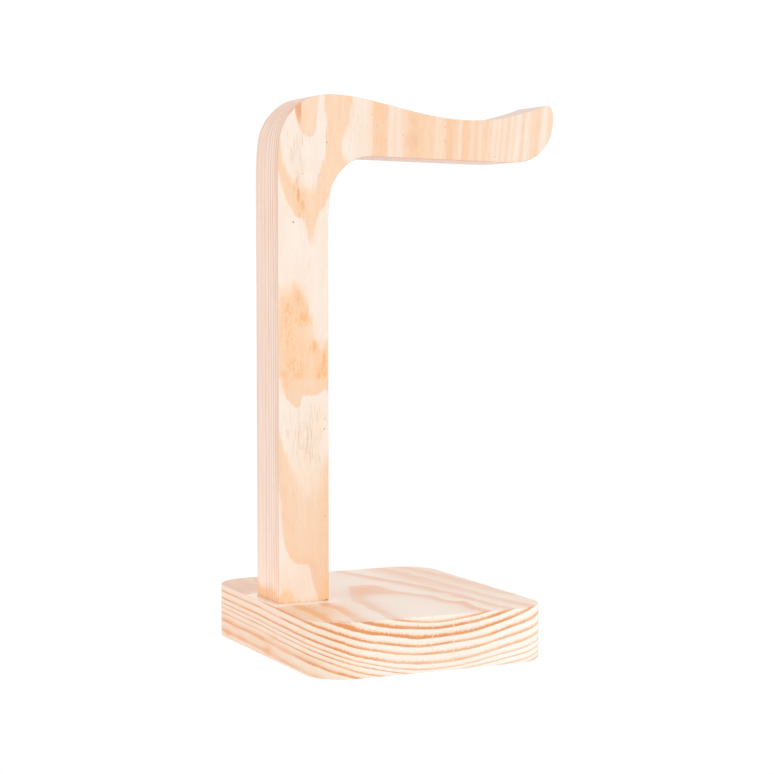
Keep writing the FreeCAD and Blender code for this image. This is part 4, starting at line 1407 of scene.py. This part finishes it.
# ===================================================================== build
hanger = hanger_mesh()
keep_inside(hanger, H_LO, H_HI)
hanger_fields(hanger)
hanger.data.materials.append(hanger_material())
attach(hanger, "root")
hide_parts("hanger")

base = base_mesh()
keep_inside(base, B_LO, B_HI)
base_fields(base)
base.data.materials.append(base_material())
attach(base, "root")
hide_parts("base_block")

pads = felt_pads()
keep_inside(pads, *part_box("felt_pads"))
pads.data.materials.append(felt_material())
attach(pads, "root")
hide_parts("felt_pads")

bead = glue_bead()
bead.data.materials.append(glue_material())
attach(bead, "root")

for node, mat in (("foot_screw", steel_material()), ("foot_dowels", beech_material())):
    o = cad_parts[node]
    o.data.materials.clear()
    o.data.materials.append(mat)

# ================================================================ stage, light
scene = bpy.context.scene
scene.view_settings.view_transform = "Standard"
scene.view_settings.look = "None"


def stage():
    me = bpy.data.meshes.new("floor")
    s = 14.0
    me.from_pydata([(-s, -s, 0), (s, -s, 0), (s, s, 0), (-s, s, 0)], [], [(0, 1, 2, 3)])
    ob = bpy.data.objects.new("floor", me)
    scene.collection.objects.link(ob)
    mat = bpy.data.materials.new("pale_floor")
    mat.use_nodes = True
    b = mat.node_tree.nodes["Principled BSDF"]
    b.inputs["Base Color"].default_value = (0.30, 0.30, 0.30, 1)
    b.inputs["Roughness"].default_value = 0.9
    b.inputs["Specular IOR Level"].default_value = 0.1
    b.inputs["Emission Color"].default_value = (1, 1, 1, 1)
    b.inputs["Emission Strength"].default_value = 0.92
    # seen directly, the floor is plain white, as the backdrop is
    nt = mat.node_tree
    path = nt.nodes.new("ShaderNodeLightPath")
    white = nt.nodes.new("ShaderNodeEmission")
    white.inputs["Strength"].default_value = 1.02
    both = nt.nodes.new("ShaderNodeMixShader")
    nt.links.new(path.outputs["Is Camera Ray"], both.inputs[0])
    nt.links.new(b.outputs[0], both.inputs[1])
    nt.links.new(white.outputs[0], both.inputs[2])
    nt.links.new(both.outputs[0], nt.nodes["Material Output"].inputs["Surface"])
    me.materials.append(mat)
    return ob


stage()

world = bpy.data.worlds.new("white_studio")
scene.world = world
world.use_nodes = True
bg = world.node_tree.nodes["Background"]
bg.inputs[0].default_value = (1, 1, 1, 1)
# the room's light, and the plain white that shows behind the stand
sky = world.node_tree.nodes.new("ShaderNodeMapRange")
sky.inputs["From Min"].default_value = 0.0
sky.inputs["From Max"].default_value = 1.0
sky.inputs["To Min"].default_value = 1.12
sky.inputs["To Max"].default_value = 1.02
ray = world.node_tree.nodes.new("ShaderNodeLightPath")
world.node_tree.links.new(ray.outputs["Is Camera Ray"], sky.inputs["Value"])
world.node_tree.links.new(sky.outputs["Result"], bg.inputs[1])

key = bpy.data.lights.new("key", "SUN")
key.energy = 0.36
key.angle = math.radians(38)
key_ob = bpy.data.objects.new("key", key)
key_ob.rotation_euler = Vector((-0.46, 0.76, -0.50)).to_track_quat("-Z", "Y").to_euler()
scene.collection.objects.link(key_ob)

# camera: three-quarter view from the left, a little above the base
az, el = math.radians(-25.522), math.radians(3.62)
back = Vector((math.sin(az) * math.cos(el), -math.cos(az) * math.cos(el), math.sin(el)))
cam_data = bpy.data.cameras.new("camera")
cam = bpy.data.objects.new("camera", cam_data)
scene.collection.objects.link(cam)
cam.location = Vector(((-357.9 + X0) * MM, (-882.8 + YC) * MM, (189.3 + Z0) * MM))
cam.rotation_euler = (-back).to_track_quat("-Z", "Y").to_euler()
cam_data.sensor_width = 36.0
cam_data.lens = 1988.2 * 36.0 / 774.0
cam_data.clip_start = 0.01
cam_data.clip_end = 60.0
cam_data.dof.use_dof = False
scene.camera = cam
